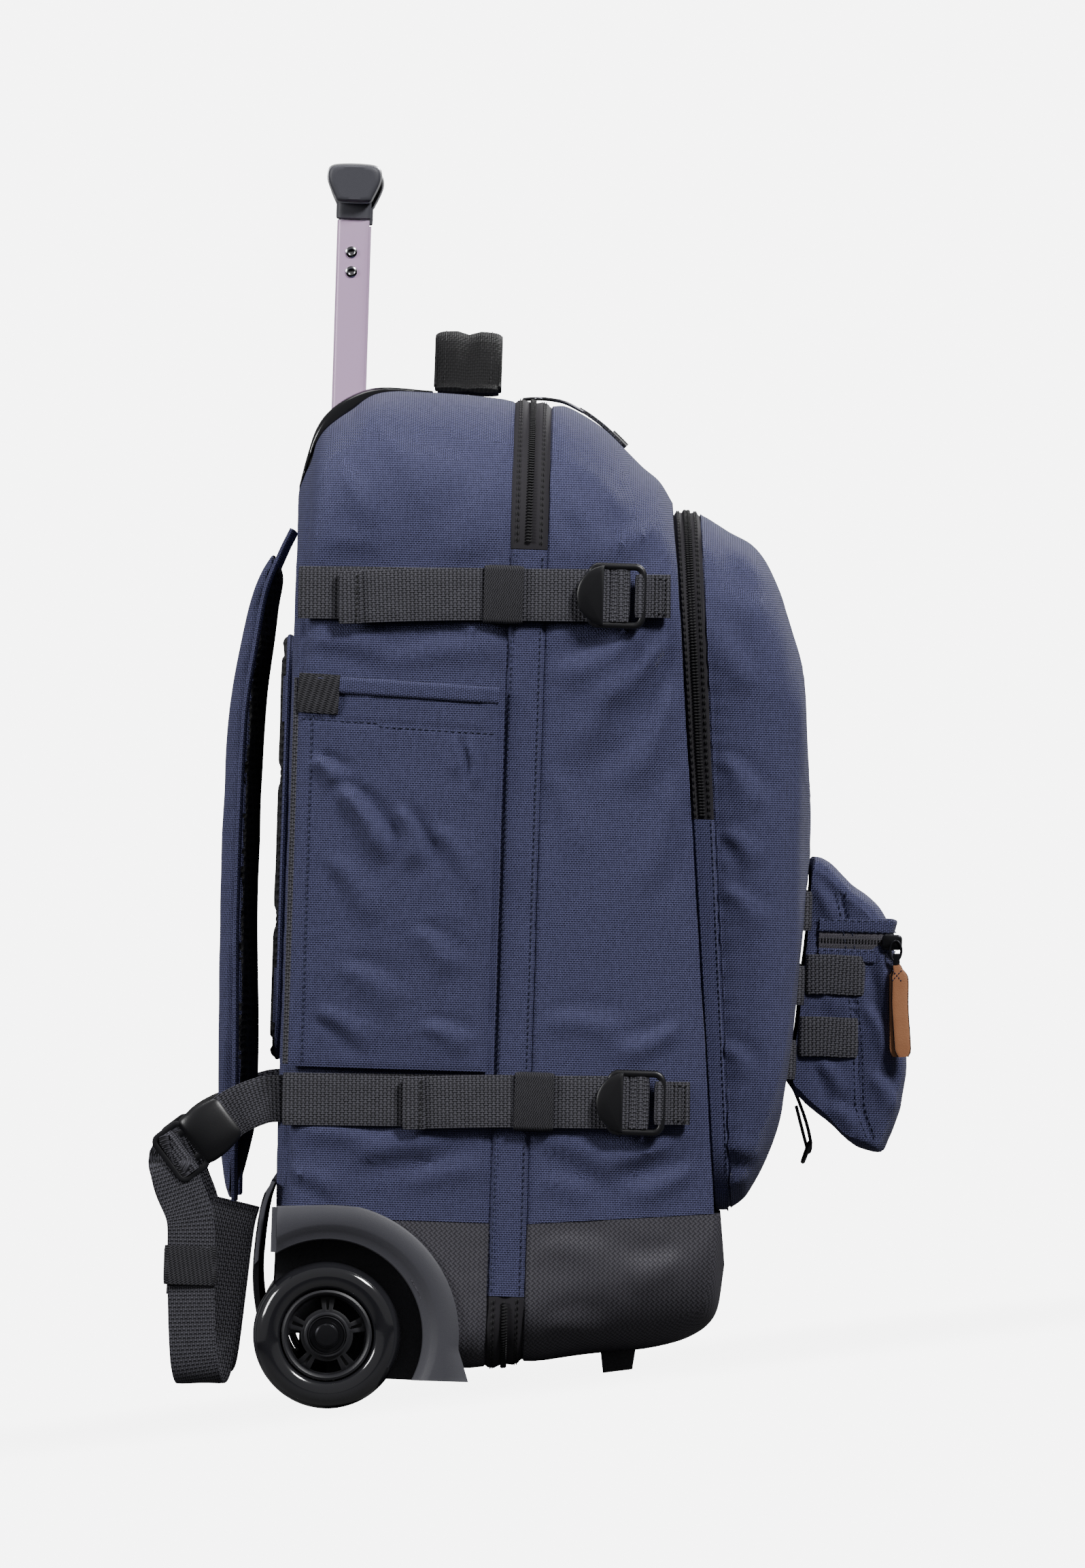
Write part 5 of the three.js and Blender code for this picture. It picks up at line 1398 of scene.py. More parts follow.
def makeRows():
    for i, h in enumerate(pouch["rows"]):
        out = rowDepth(h) - 0.4
        start = ((-4, -2.6), (-2.6, 1.2), (0.4, 2.6), (3.4, 0.8))
        line = [(x - pouch["rowHalf"], out + d, h) for x, d in start]
        for k in range(9):
            x = mix(-0.92, 0.92, k / 8) * pouch["rowHalf"]
            line.append((x, out + (0.2 if k % 2 == 0 else 1.0), h))
        line += [(-a, b, c) for a, b, c in line[3::-1]]
        parts = [ribbon("row", line, (0, 0, 1), pouch["rowWide"], 1.8, webbing, 6)]
        sewn = [[(mix(-0.92, 0.92, k / 4) * pouch["rowHalf"], out + 1.2, h + z)
            for z in np.linspace(-9, 9, 8)] for k in range(5)]
        parts.append(stitches("tacks", sewn, (1, 0, 0), blackThread, spacing=1.4, run=1.2))
        finishParts(f"row_look_{i + 1}", parts, {0: "row_band_1", 2: "row_band_2"}.get(i))
    bands = []
    for h in pouch["bands"]:
        back = pouchBack(h)
        for side in (-1, 1):
            x = side * (pouch["half"] + 1.2)
            line = [(x + side * lift, back + d, h + rise) for lift, d, rise in bandTable]
            bands.append(ribbon("band", line, (0, 0, 1), 21.4, 1.8, webbing, 5))
    finishParts("pouch_bands", bands)


def makeRingTab():
    start = rowDepth(185.5)
    table = [(.0, .275), (.04, .25), (.1, .215), (.2, .12), (.25, .045), (.235, .01), (.2, .05), (.11, .17)]
    line = [(0, start + a * pouch["depth"] - 1.0, pouch["low"] + b * pouch["tall"] - 4) for a, b in table]
    parts = [ribbon("tab", line, (1, 0, 0), 20, 1.8, webbing, 5)]
    d, h = start + 0.235 * pouch["depth"], pouch["low"] - 4 + 0.035 * pouch["tall"]
    t = np.linspace(0, 2 * math.pi, 29)[:-1]
    c, s = np.cos(t), np.sin(t)
    ring = np.column_stack([np.where(s < 0, 12.2 * c, np.clip(16 * c, -12.2, 12.2)),
        d - 1 + s * np.where(s < 0, 3.0, 0.7), h + s * np.where(s < 0, 9.0, 1.6)])
    parts.append(tube("ring", ring, 1.3, darkSteel, 10, closed=True))
    finishLook("ring_tab", parts)


makePouch()
makePouchZip()
makeLeatherPull()
makeRows()
makeRingTab()
print("pouch made")

sidePocket = {"low": 185, "high": 396, "rear": -26, "front": 82, "bulge": 9, "skin": 169.3, "thick": 2}
sideFolds = [(-17, 352, -3, 338, 5, 1.6, 1), (-3, 338, 24, 297, 6.5, 2.2, 1), (30, 328, 40, 293, 6, 1.4, 1),
    (58, 366, 60, 344, 3, 0.7, 1), (67, 364, 70, 338, 3, 0.7, -1), (-8, 300, 20, 262, 8, 0.9, -1),
    (40, 262, 62, 236, 7, 0.9, 1), (0, 240, 34, 218, 8, 0.8, 1), (-12, 216, 20, 196, 6, 0.9, -1),
    (46, 210, 72, 196, 6, 0.8, 1), (48, 318, 76, 280, 7, 0.8, -1)]


def makeSidePocket(name, side):
    nu, nv = 70, 120
    u, v = np.meshgrid(np.linspace(0, 1, nu), np.linspace(0, 1, nv))
    bow = np.sin(math.pi * u) ** 0.7 * (0.25 + 0.75 * np.sin(math.pi / 2 * np.minimum(1, 1.6 * v)))
    d = mix(sidePocket["rear"], sidePocket["front"], u)
    h = mix(sidePocket["low"], sidePocket["high"] - 4 * u, v)
    flat = np.column_stack([np.zeros(nu * nv), d.ravel(), h.ravel()])
    edge = np.minimum(np.minimum(u, 1 - u) * 108, v * 211).ravel()
    relief = folds(flat[:, 1], flat[:, 2], sideFolds) + 0.8 * cloud(flat, 40, 61) + 0.4 * cloud(flat, 17, 62)
    relief += 0.3 * creases(flat, 26, 63)
    hem = np.abs(flat[:, 2] - mix(373.3, 368.5, u.ravel()))
    relief -= 0.7 * hill(hem, 1.4)
    relief += 0.35 * np.sin(u.ravel() * 95) * hill(hem, 8)
    relief = relief * smooth(1, 9, edge) + 0.6 * smooth(0, 3, edge)
    base = sidePocket["skin"] + 0.5 + sidePocket["bulge"] * bow.ravel() * 0.9
    outer = np.column_stack([side * (base + sidePocket["thick"] + relief * 0.9), flat[:, 1:]])
    inner = np.column_stack([side * (base - 0.2 + relief * 0.6), flat[:, 1:]])
    points = np.vstack([outer, inner])
    faces = []
    total = nu * nv
    for j in range(nv - 1):
        for i in range(nu - 1):
            a = j * nu + i
            faces += [(a, a + 1, a + nu + 1, a + nu), (a + total, a + nu + total, a + nu + 1 + total,
                a + 1 + total)]
    rim = list(range(nu)) + [j * nu + nu - 1 for j in range(1, nv)]
    rim += [(nv - 1) * nu + i for i in range(nu - 2, -1, -1)] + [j * nu for j in range(nv - 2, 0, -1)]
    for k, a in enumerate(rim):
        b = rim[(k + 1) % len(rim)]
        faces.append((a, b, b + total, a + total))
    parts = [makeObject("wall", points, faces, navy)]
    boxCloth(parts[0])
    surface = lambda uu, vv: outer[int(round(vv * (nv - 1))) * nu + int(round(uu * (nu - 1)))]
    lift = np.array([side * 0.3, 0, 0])
    heights = [(373.3 - 185) / 211, (368.5 - 185) / 209]
    hemLine = [surface(t, mix(heights[0], heights[1], t)) + lift for t in np.linspace(0.03, 0.97, 30)]
    rearLine = [surface(0.075, t) + lift for t in np.linspace(0.02, 0.985, 50)]
    parts.append(stitches("sewn", [hemLine, rearLine], [(0, 0, 1), (0, 1, 0)]))
    top = smoothRows([surface(t, 1.0) + [0, 0, -3.6] + lift * 1.5 for t in np.linspace(0.0, 1.0, 16)], 3)
    parts.append(sweep("binding", top, (0, 0, 1), tapeProfile(8.5, 2.4), navy))
    corner = smoothRows([surface(t, 1.0) + [0, 0, -9.0] + lift * 3.0 for t in np.linspace(0.0, 0.2, 5)], 3)
    parts.append(sweep("elastic", corner, (0, 0, 1), tapeProfile(21, 1.8), elastic))
    down = [(side * (sidePocket["skin"] + 1.6), sidePocket["rear"] - 0.6, h)
        for h in np.linspace(186, 395, 12)]
    parts.append(sweep("piping", down, (0, 1, 0), roundProfile(2.0, 1.3, 10), webbing))
    finishParts(f"side_pocket_look_{name}", parts, node=f"side_pocket_{name}")


for name, side in sides:
    makeSidePocket(name, side)
print("side pockets made")

# Wheels, their housings and the back plate between them

wheel = {"middle": 156, "arch": 51.7, "face": 169.3, "axle": 40, "spokes": 5, "hole": (14.2, 20.6, 0.43),
    "slot": (13.6, 19.8, 0.05), "slotFloor": 161.2}


def lathe(name, profile, centre, side, material, steps=72):
    # a closed profile of (outward, radius) turned about the axle
    rings = []
    for t in np.arange(steps) / steps * 2 * math.pi:
        rings.append([(side * (centre + x), r * math.cos(t), wheel["axle"] + r * math.sin(t))
            for x, r in profile])
    return makeObject(name, np.vstack(rings), loftFaces(steps, len(profile), True), material)


def bevelled(obj, width, angle):
    addModifier(obj, "BEVEL", width=width, segments=2, limit_method="ANGLE", angle_limit=math.radians(angle))
    return bake(obj)


def kidney(low, high, start, end, steps=8):
    return arcLine(high, start, end, steps) + arcLine(low, end, start, steps)


def makeWheel(name, side):
    outline = closedSmooth([(-8, 25), (-11.6, 27), (-12.6, 31.5), (-11.8, 35.4), (-8.6, 38.5), (-4, 39.8),
        (0, 40), (4, 39.8), (8.6, 38.5), (11.8, 35.4), (12.6, 31.5), (11.6, 27), (8, 25), (0, 24.9)], 3)
    tyre = lathe("tyre", outline, wheel["middle"], side, tyreRubber, 96)
    finishPiece(tyre, f"wheel_{name}", [f"tyre_{name}"])
    rim = [(-10.6, 24.4), (-11, 23.6), (-10.6, 21.8), (-9, 21.4), (9, 21.4), (10.2, 21.9), (11, 23.2),
        (10.4, 24.4)]
    parts = [lathe("rim", rim, wheel["middle"], side, hubPlastic)]
    web = [(-4.2, 6), (-4.2, 22.6), (5.4, 22.6), (6.6, 19.5), (7.4, 12.5), (7.4, 6)]
    web = lathe("web", web, wheel["middle"], side, hubPlastic)
    tidyMesh(web)
    for i in range(wheel["spokes"]):
        # a hole between two spokes, and a shallow slot in each spoke
        low, high, half = wheel["hole"]
        at = math.pi / 2 + (i + 0.5) * math.tau / wheel["spokes"]
        cut(web, prismShape(kidney(low, high, at - half, at + half), side * 130, side * 190))
        low, high, half = wheel["slot"]
        at = math.pi / 2 + i * math.tau / wheel["spokes"]
        slot = kidney(low, high, at - half, at + half, 3)
        cut(web, prismShape(slot, side * wheel["slotFloor"], side * 190))
    parts.append(bevelled(web, 0.55, 50))
    boss = [(-10, 5), (-10, 12), (8.4, 12.4), (9.2, 11.6), (9.2, 10.8), (8, 10.6), (8, 5)]
    parts.append(lathe("boss", boss, wheel["middle"], side, hubPlastic))
    bearing = [(7, 5), (7, 10.2), (8.7, 10.2), (8.9, 9.6), (8.4, 9.2), (8.4, 7.4), (8.9, 7.2), (8.9, 6),
        (8.6, 5)]
    parts.append(lathe("bearing", bearing, wheel["middle"], side, darkSteel))
    finishParts(f"hub_look_{name}", parts, f"hub_{name}", f"wheel_{name}")


def resample(points, count):
    p = np.array(points, float)
    along = runLengths(p)
    at = np.linspace(0, along[-1], count)
    return np.column_stack([np.interp(at, along, p[:, 0]), np.interp(at, along, p[:, 1])])


# share of the way in from the outer edge, move across and place outward of the bag's side
archTable = [(0, 0, 0), (0, 0, 1.6), (0, -1.1, 2.5), (.4, 0, 2.9), (1, 9.5, 2.9), (1, 8.3, 2.6),
    (1, 5.2, 1.1), (1, 3.6, .4), (1, .6, -.2), (1, 0, -1.2), (1, 0, -30.7), (1, 2.4, -30.7), (1, 2.4, -1.4)]


def makeHousing(name, side):
    count = 64
    low = math.asin((17 - 40) / wheel["arch"])
    high = math.acos(-28.8 / wheel["arch"])
    inner = np.array(arcLine(wheel["arch"], low, high, count - 1))
    outline = [(77.3, 17.0)] + arcLine(71.5, -0.12, 1.35, 30)[1:] + [(9, 110.2), (0, 110.5), (-14, 109.8),
        (-29, 109)]
    outer = resample(outline, count)
    across = outer - inner
    across /= np.linalg.norm(across, axis=1, keepdims=True)
    face = wheel["face"]
    rings = []
    for i in range(count):
        ring = []
        for share, move, lift in archTable:
            q = mix(outer[i], inner[i], share) + across[i] * move
            ring.append((side * (face + lift), *q))
        rings.append(ring)
    parts = [loft("arch", rings, housing)]
    wall = arcLine(53, low, high, 30) + [(-28.8, 82), (-28.8, 40), (-7.4, 40)]
    wall += arcLine(7.4, math.pi, 1.5 * math.pi, 6) + [(0, 17.2)]
    parts.append(makeObject("wall", *prismShape(wall, side * 136.1, side * 138.5), housing))
    boss = [(0, 0.01), (0, 7.4), (7.2, 7.2), (7.8, 6.6), (7.8, 0.01)]
    parts.append(lathe("boss", boss, 136.2, side, housing, 32))
    parts.append(lathe("pin", [(0, 0.01), (0, 3.9), (25, 3.9), (25, 0.01)], 143, side, darkSteel, 32))
    head = [(0, 0.01), (0, 6.2), (1.0, 6.3), (1.9, 5.4), (2.2, 0.01)]
    head = lathe("head", head, 167.6, side, darkSteel, 40)
    tidyMesh(head, 0.02)
    parts.append(head)
    rear = [(side * (face + 1.5), -30.2, h) for h in np.linspace(84, 108.5, 12)]
    parts.append(sweep("rib", rear, (0, 1, 0), roundProfile(1.6, 1.5, 10, 3), housing))
    finishParts(f"wheel_housing_look_{name}", parts, f"wheel_housing_{name}")


def makeBackPlate():
    table = [(0, 3.05), (.14, 2.75), (.22, 2.35), (.26, 1.9), (.24, 1.55), (.16, 1.2), (.05, .88),
        (-.2, .5), (-.66, .45), (-1.1, .45)]
    line = smoothRows([(0, -31.55 - d * 30, h * 40) for d, h in table], 5)
    obj = sweep("back_plate_look", line, (1, 0, 0), roundProfile(165, 1.25, 64, 12), housing)
    tidyMesh(obj)
    for side in (-1, 1):
        cut(obj, prismShape(arcLine(54.8, 0, math.tau * 47 / 48, 47), side * 135.7, side * 190))
    finishPiece(obj, nodes=["back_plate"])
    ribs = []
    for x in (-110, -66, -22, 22, 66, 110):
        ribs.append(sweep("rib", line[3:36] + [x, -1.5, 0], (1, 0, 0), roundProfile(2.6, 0.9, 10), housing))
    finishParts("back_plate_ribs", ribs)


for name, side in sides:
    makeWheel(name, side)
    makeHousing(name, side)
makeBackPlate()
print("wheels made")

# Trolley handle, its tray and button, and the grab handle

handle = {"wide": 13, "deep": 17.5, "place": -5.2, "spread": 75, "low": 133, "top": 645, "gripDeep": 28.6,
    "gripRise": 19, "gripTop": 675, "gripHalf": 92, "rivets": ((-5.7, 627.6), (-5.4, 616.9)),
    "trayHole": (6.9, 9.1), "trayRise": 8.2}


def extrudeAcross(name, sections, material):
    # a loft across the bag: side place and a closed outline in depth and height for each section
    return loft(name, [[(x, d, h) for d, h in outline] for x, outline in sections], material)


rivetTable = [(-.6, 3.15), (.5, 3.15), (1, 2.5), (1.1, 1.9), (.8, 1.5), (.8, .02)]


def makeTubes():
    for name, side in sides:
        x = side * handle["spread"]
        line = [(x, handle["place"], h) for h in np.linspace(handle["low"], handle["top"], 30)]
        parts = [sweep("tube", line, (0, 1, 0), roundProfile(handle["deep"] / 2, handle["wide"] / 2, 40, 5),
            lilac)]
        for d, h in handle["rivets"]:
            face = x + side * handle["wide"] / 2
            rings = [[(face + side * lift, d + r * math.cos(t), h + r * math.sin(t))
                for t in np.arange(24) / 24 * math.tau] for lift, r in rivetTable]
            parts.append(loft("rivet", rings, steel))
        finishParts(f"inner_tube_look_{name}", parts, f"inner_tube_{name}", "handle")


def gripOutline(scale=1.0, grow=0.0):
    table = [(-.3, -1.05), (-.36, -.92), (-.46, -.6), (-.5, -.38), (-.485, -.16), (-.4, -.04), (-.2, 0),
        (.2, 0), (.4, -.04), (.485, -.16), (.5, -.38), (.46, -.6), (.36, -.92), (.3, -1.05), (.1, -1.07),
        (-.1, -1.07)]
    o = closedSmooth([(handle["place"] + d * handle["gripDeep"],
        handle["gripTop"] + h * handle["gripRise"]) for d, h in table], 3)
    middle = o.mean(0)
    away = o - middle
    length = np.linalg.norm(away, axis=1, keepdims=True)
    return middle + away * scale + away / length * grow


def makeGrip():
    half = handle["gripHalf"]
    inner = [(-half + 10, gripOutline(1, -0.3)), (half - 10, gripOutline(1, -0.3))]
    fine = [(x, gripOutline(1, -0.3 + 0.12 * math.sin(x * 1.4)))
        for x in np.linspace(-half + 11, half - 11, 150)]
    parts = [extrudeAcross("body", [inner[0], *fine, inner[1]], gloss)]
    for side in (-1, 1):
        cap = [(half, .72), (half, .86), (half - 0.7, .94), (half - 2.2, .985), (half - 5, 1),
            (half - 9.6, 1)]
        parts.append(extrudeAcross("cap", [(side * x, gripOutline(s)) for x, s in cap], housing))
        trim = [(half - 8.8, -0.2), (half - 8.2, 0.7), (half - 3.4, 0.7), (half - 2.8, -0.2)]
        parts.append(extrudeAcross("trim", [(side * x, gripOutline(1, g)) for x, g in trim], silver))
        neck = ((645.7, 7.8, 8.9), (646.2, 8.4, 9.4), (649, 8.5, 9.5), (653, 8.5, 9.5), (657, 8.6, 9.6))
        line = [(side * handle["spread"], handle["place"], h) for h, wide, deep in neck]
        profiles = [roundProfile(deep, wide, 32, 5) for h, wide, deep in neck]
        parts.append(sweep("neck", line, (0, 1, 0), profiles, housing))
    finishParts("grip_look", parts, "grip", "handle")


def makeButton():
    top = handle["gripTop"] + 1.8
    table = ((-9, 19.6, 6.2), (-1.6, 19.6, 6.2), (-0.5, 19.1, 5.8), (0, 18.0, 4.9))
    line = [(0, handle["place"], top + h) for h, wide, deep in table]
    profiles = [roundProfile(wide, deep, 40, 5) for h, wide, deep in table]
    obj = sweep("button_look", line, (1, 0, 0), profiles, housing)
    finishPiece(obj, "button", ["release_button"])


def makeTray():
    low = [(min(rearRow(*r)[1], 41), rearRow(*r)[4]) for r in rearTable[:7]]
    proud = [.3, .72, 1, 1.05, 1, .4, .12]
    under = smoothRows([(d, h + 0.45) for d, h in low], 5)
    lift = smoothRows([(p * handle["trayRise"],) for p in proud], 5)[:, 0]
    over = under + np.column_stack([np.zeros(len(lift)), lift])

    def section(x, share):
        top = over.copy()
        top[:, 1] = under[:, 1] + np.maximum(lift * share * 0.95, 0.4)
        return (x, [*map(tuple, under), *map(tuple, top[::-1])])

    places = [(-94, .25), (-93.4, .6), (-92, .86), (-90, .97), (-88, 1)]
    sections = [section(x, s) for x, s in places]
    sections += [section(x, 1 - 0.08 * hill(abs(x) - 75, 14)) for x in np.linspace(-80, 80, 21)]
    sections += [section(-x, s) for x, s in places[::-1]]
    obj = extrudeAcross("handle_tray_look", sections, gloss)
    for side in (-1, 1):
        x, d = side * handle["spread"], handle["place"]
        wide, deep = handle["trayHole"]
        cut(obj, boxShape((x - wide, d - deep, 400), (x + wide, d + deep, 700)))
    bevelled(obj, 0.5, 60)
    finishPiece(obj, nodes=["handle_tray"])


grab = {"half": 72, "depth": 59.6, "height": 554.7, "rise": 33, "wide": 18, "thick": 3.4, "piping": 17.4,
    "sewn": 12.6}


def makeGrab():
    table = [(-1, 0, .4), (-.95, .05, .42), (-.86, .12, .5), (-.72, .46, .8), (-.5, .8, 1), (-.25, .88, 1),
        (0, .9, 1)]
    table = table + [(-a, b, c) for a, b, c in table[-2::-1]]
    rows = smoothRows(table, 9)
    line = [(a * grab["half"], grab["depth"], grab["height"] + b * grab["rise"]) for a, b, c in rows]
    profiles = []
    for i, (a, b, c) in enumerate(rows):
        ribbed = 1 + 0.045 * math.sin(i * 1.9) * smooth(0.8, 0.5, abs(a))
        p = roundProfile(grab["wide"] * mix(0.9, 1, c), grab["thick"] * c * ribbed, 36, 3.4)
        p[:, 1] -= 1.9 * hill(p[:, 0], 1.6) * np.sign(p[:, 1]) * c
        profiles.append(p)
    parts = [sweep("pad", line, (0, 1, 0), profiles, padCloth)]
    for side in (-1, 1):
        edge = [(x, d + side * grab["piping"], h + 0.6) for x, d, h in line[6:-6]]
        parts.append(tube("piping", edge, 1.0, padCloth, 8))
        sewn = [(x, d + side * grab["sewn"], h + 3.3) for x, d, h in line[14:-14]]
        parts.append(stitches("sewn", [sewn], (0, 1, 0), blackThread))
    obj = finishLook("grab_handle", parts)


makeTubes()
makeGrip()
makeButton()
makeTray()
makeGrab()
print("handle made")

# Padded shoulder straps, back pad, zip pull and the pieces that keep their CAD shape

pad = {"wide": 66, "thick": 17, "spread": 92, "start": 2.2, "cap": 3.4, "voxel": 0.0044, "pressure": 4.0,
    "tension": 12, "frames": 20}
# side, off, height, width and thickness shares
shoulderTable = [(.62, .15, .862, .85, .3), (.62, .5, .838, .9, .45), (.66, .95, .8, .95, .65),
    (.72, 1.22, .745, 1, .85), (.78, 1.46, .685, 1.05, .95), (.86, 1.53, .61, 1.06, .95),
    (.93, 1.55, .54, 1.04, .95), (1, 1.53, .465, 1, .95), (1.07, 1.46, .39, .94, 1),
    (1.13, 1.4, .32, .86, 1), (1.17, 1.36, .26, .76, .85), (1.2, 1.32, .2, .6, .45)]


def swell(obj, cap):
    # fill a closed piece with air as cloth, holding each point within its cap
    setPoints(obj, getPoints(obj) * mm)
    addModifier(obj, "REMESH", mode="VOXEL", voxel_size=pad["voxel"])
    bake(obj)
    start = getPoints(obj)
    cloth = addModifier(obj, "CLOTH")
    cloth.settings.use_pressure = True
    cloth.settings.uniform_pressure_force = pad["pressure"]
    cloth.settings.effector_weights.gravity = 0
    cloth.settings.tension_stiffness = pad["tension"]
    scene = bpy.context.scene
    for frameAt in range(1, pad["frames"] + 1):
        scene.frame_set(frameAt)
    bake(obj)
    scene.frame_set(1)
    moved = getPoints(obj) - start
    length = np.linalg.norm(moved, axis=1, keepdims=True)
    setPoints(obj, start + moved * np.minimum(1, cap * mm / np.maximum(length, 1e-9)))
    addModifier(obj, "SMOOTH", factor=0.5, iterations=4)
    divided(obj)
    setPoints(obj, getPoints(obj) / mm)
    return obj


def secondMaterial(obj, material, chosen):
    obj.data.materials.append(material)
    obj.data.polygons.foreach_set("material_index", chosen.astype(np.int32))


def makeShoulder():
    rows = smoothRows([(pad["spread"] * s, bag["rear"] - 0.3 - off * pad["thick"], h * bag["top"],
        w * pad["wide"], t * pad["thick"]) for s, off, h, w, t in shoulderTable], 7)
    start = pad["start"]
    profiles = [roundProfile(w / 2 - start, max(t / 2 - start, 1.2), 40, 3.2) for *_, w, t in rows]
    body = sweep("shoulder", rows[:, :3], (1, 0, 0), profiles, navy)
    tidyMesh(body)
    swell(body, pad["cap"])
    tidyMesh(body)
    line = rows[:, :3]
    points = getPoints(body)
    normals = getNormals(body)
    near = np.argmin(((points[:, None, :] - line[None]) ** 2).sum(2), 1)
    off = np.abs(points[:, 0] - line[near, 0])
    half = rows[near, 3] / 2
    channel = hill(half - off - 7, 1.5)
    along = near * 6.0
    wave = 0.5 * np.sin(along / 9 + points[:, 0] / 5) * hill(half - off - 9, 6)
    shift = -1.5 * channel + 0.6 * wave + 0.5 * cloud(points, 30, 71)
    setPoints(body, points + normals * shift[:, None])
    boxCloth(body)
    # the side that looks at the bag is mesh
    secondMaterial(body, spacer, faceNormals(body)[:, 1] > 0.12)
    return body, rows


def mirrored(obj):
    copy = linked(obj.name, obj.data.copy())
    setPoints(copy, getPoints(copy) * [-1, 1, 1])
    copy.data.flip_normals()
    return copy


def finishShoulders():
    body, rows = makeShoulder()
    parts = []
    for edge in (-1, 1):
        rim = [(x + edge * (wide / 2 - 1.0), d, h) for x, d, h, wide, _ in rows]
        parts.append(tube("piping", rim, 1.7, navy, 10))
    trim = joinPieces("trim", parts)
    pairs = {"right": (body, trim), "left": (mirrored(body), mirrored(trim))}
    for name, (cloth, extra) in pairs.items():
        cloth.name, extra.name = f"shoulder_strap_look_{name}", f"shoulder_strap_trim_{name}"
        finishPiece(cloth, nodes=[f"shoulder_strap_{name}"])
        finishPiece(extra)


backPad = {"low": 188, "high": 418, "half": 120, "corner": 23.8, "points": 180, "back": 0.4,
    "upright": (-40, 40), "level": (264, 342), "groove": 3.2}


def makeBackPad():
    low, high, half = backPad["low"], backPad["high"], backPad["half"]
    back = bag["rear"] - backPad["back"]
    ring = roundedBox(-half, half, low, high, backPad["corner"], 10)
    ring = resample(ring + ring[:1], backPad["points"] + 1)[:-1]
    middle = np.array([0, (low + high) / 2])
    reach = np.linalg.norm(ring - middle, axis=1, keepdims=True)
    layers = [(1.0, 0.0), (1.0, 1.4), (0.995, 3.2), (0.985, 4.6), (0.97, 5.4), (0.955, 5.8)]
    layers += [(s, 6.0) for s in np.linspace(0.94, 0.02, 60)]
    rings, n = [], len(ring)
    for share, out in layers:
        inset = (1 - share) * half / reach if share > 0.94 else None
        q = middle + (ring - middle) * ((1 - inset) if share > 0.94 else share)
        rings.append(np.column_stack([q[:, 0], np.full(n, back - out), q[:, 1]]))
    obj = loft("back_pad_look", rings, spacer)
    p = getPoints(obj)
    face = smooth(4.4, 6.0, back - p[:, 1])
    edge = np.minimum(half - np.abs(p[:, 0]), np.minimum(p[:, 2] - low, high - p[:, 2]))
    groove = np.zeros(len(p))
    for x in backPad["upright"]:
        groove += hill(p[:, 0] - x, 4.5)
    for h in backPad["level"]:
        groove += hill(p[:, 2] - h, 4.5)
    groove = np.minimum(groove, 1) + hill(edge - 9, 2.2)
    p[:, 1] += face * (np.minimum(groove, 1) * backPad["groove"] - 0.5 * cloud(p, 34, 72))
    setPoints(obj, p)
    piping = [(x * 0.992, bag["rear"] - 2.2, (h - middle[1]) * 0.992 + middle[1]) for x, h in ring]
    rim = tube("rim", piping, 1.7, navy, 8, closed=True)
    sewn = [(x * 0.93, bag["rear"] - 5.0, (h - middle[1]) * 0.93 + middle[1]) for x, h in ring]
    sewn = stitches("sewn", [sewn], (1, 0, 0.01), blackThread)
    boxCloth(obj)
    secondMaterial(obj, navy, np.abs(faceNormals(obj)[:, 1]) < 0.6)
    finishParts("back_pad_trim", [rim, sewn])
    finishPiece(obj, nodes=["back_pad"])


def makeZipPull():
    x = -24
    tops = np.array([(r[1], r[4]) for r in frontRows])
    tops = tops[np.argsort(tops[:, 0])]
    over = lambda d, lift: (x, d, np.interp(d, tops[:, 0], tops[:, 1]) + lift)
    line = [over(90, 3.0), over(96, 3.6), over(103, 3.6), over(113, 3.4), over(123, 3.2)]
    body = smoothRows(line, 4)
    wide = np.interp(np.linspace(0, 1, len(body)), [0, .3, .36, 1], [4.6, 4.6, 2.6, 2.9])
    parts = [sweep("pull", body, (1, 0, 0), [roundProfile(w, 1.0, 12, 3) for w in wide], darkSteel)]
    cord = [over(121, 3.6), over(127, 3.2), over(136, 2.4), over(145, 2.0)]
    for lift in (-1.2, 1.2):
        parts.append(tube("cord", [(a + lift, b, c) for a, b, c in smoothRows(cord, 5)], 1.15, webbing, 8))
    parts.append(tube("knot", smoothRows([over(139, 2.4), over(143, 2.4), over(147, 2.4)], 4), 2.2, buckle,
        12))
    finishLook("zip_pull", parts)


finishShoulders()
makeBackPad()
makeZipPull()
for name in ("foot_left", "foot_right", "outer_tube_left", "outer_tube_right"):
    kept = bpy.data.objects[name]
    kept.data.materials.clear()
    kept.data.materials.append(housing)
print("pads made")

# Camera on the left of the bag, looking straight across it, with a pale floor and soft light

photo = {"wide": 1596, "tall": 2307, "mmPerPixel": 0.3675, "axleX": 480.5, "axleY": 1964.5, "turn": 1.8}
studio = {"distance": 14.0, "near": 170, "sensor": 36.0, "paper": rgb("f2f2f2"), "glow": 7.4, "fill": 0.19,
    "floorShare": 0.86, "aim": (0, 0, 0.3)}
lights = (  # place, size and power in watts
    ("key", (-1.9, -1.9, 2.3), (0.7, 0.7), 112), ("rear", (-1.1, 2.2, 1.5), (0.7, 1.0), 46),
    ("far", (2.2, -1.4, 1.9), (1.2, 1.2), 60), ("top", (0.2, 0.2, 2.6), (1.0, 1.0), 18))


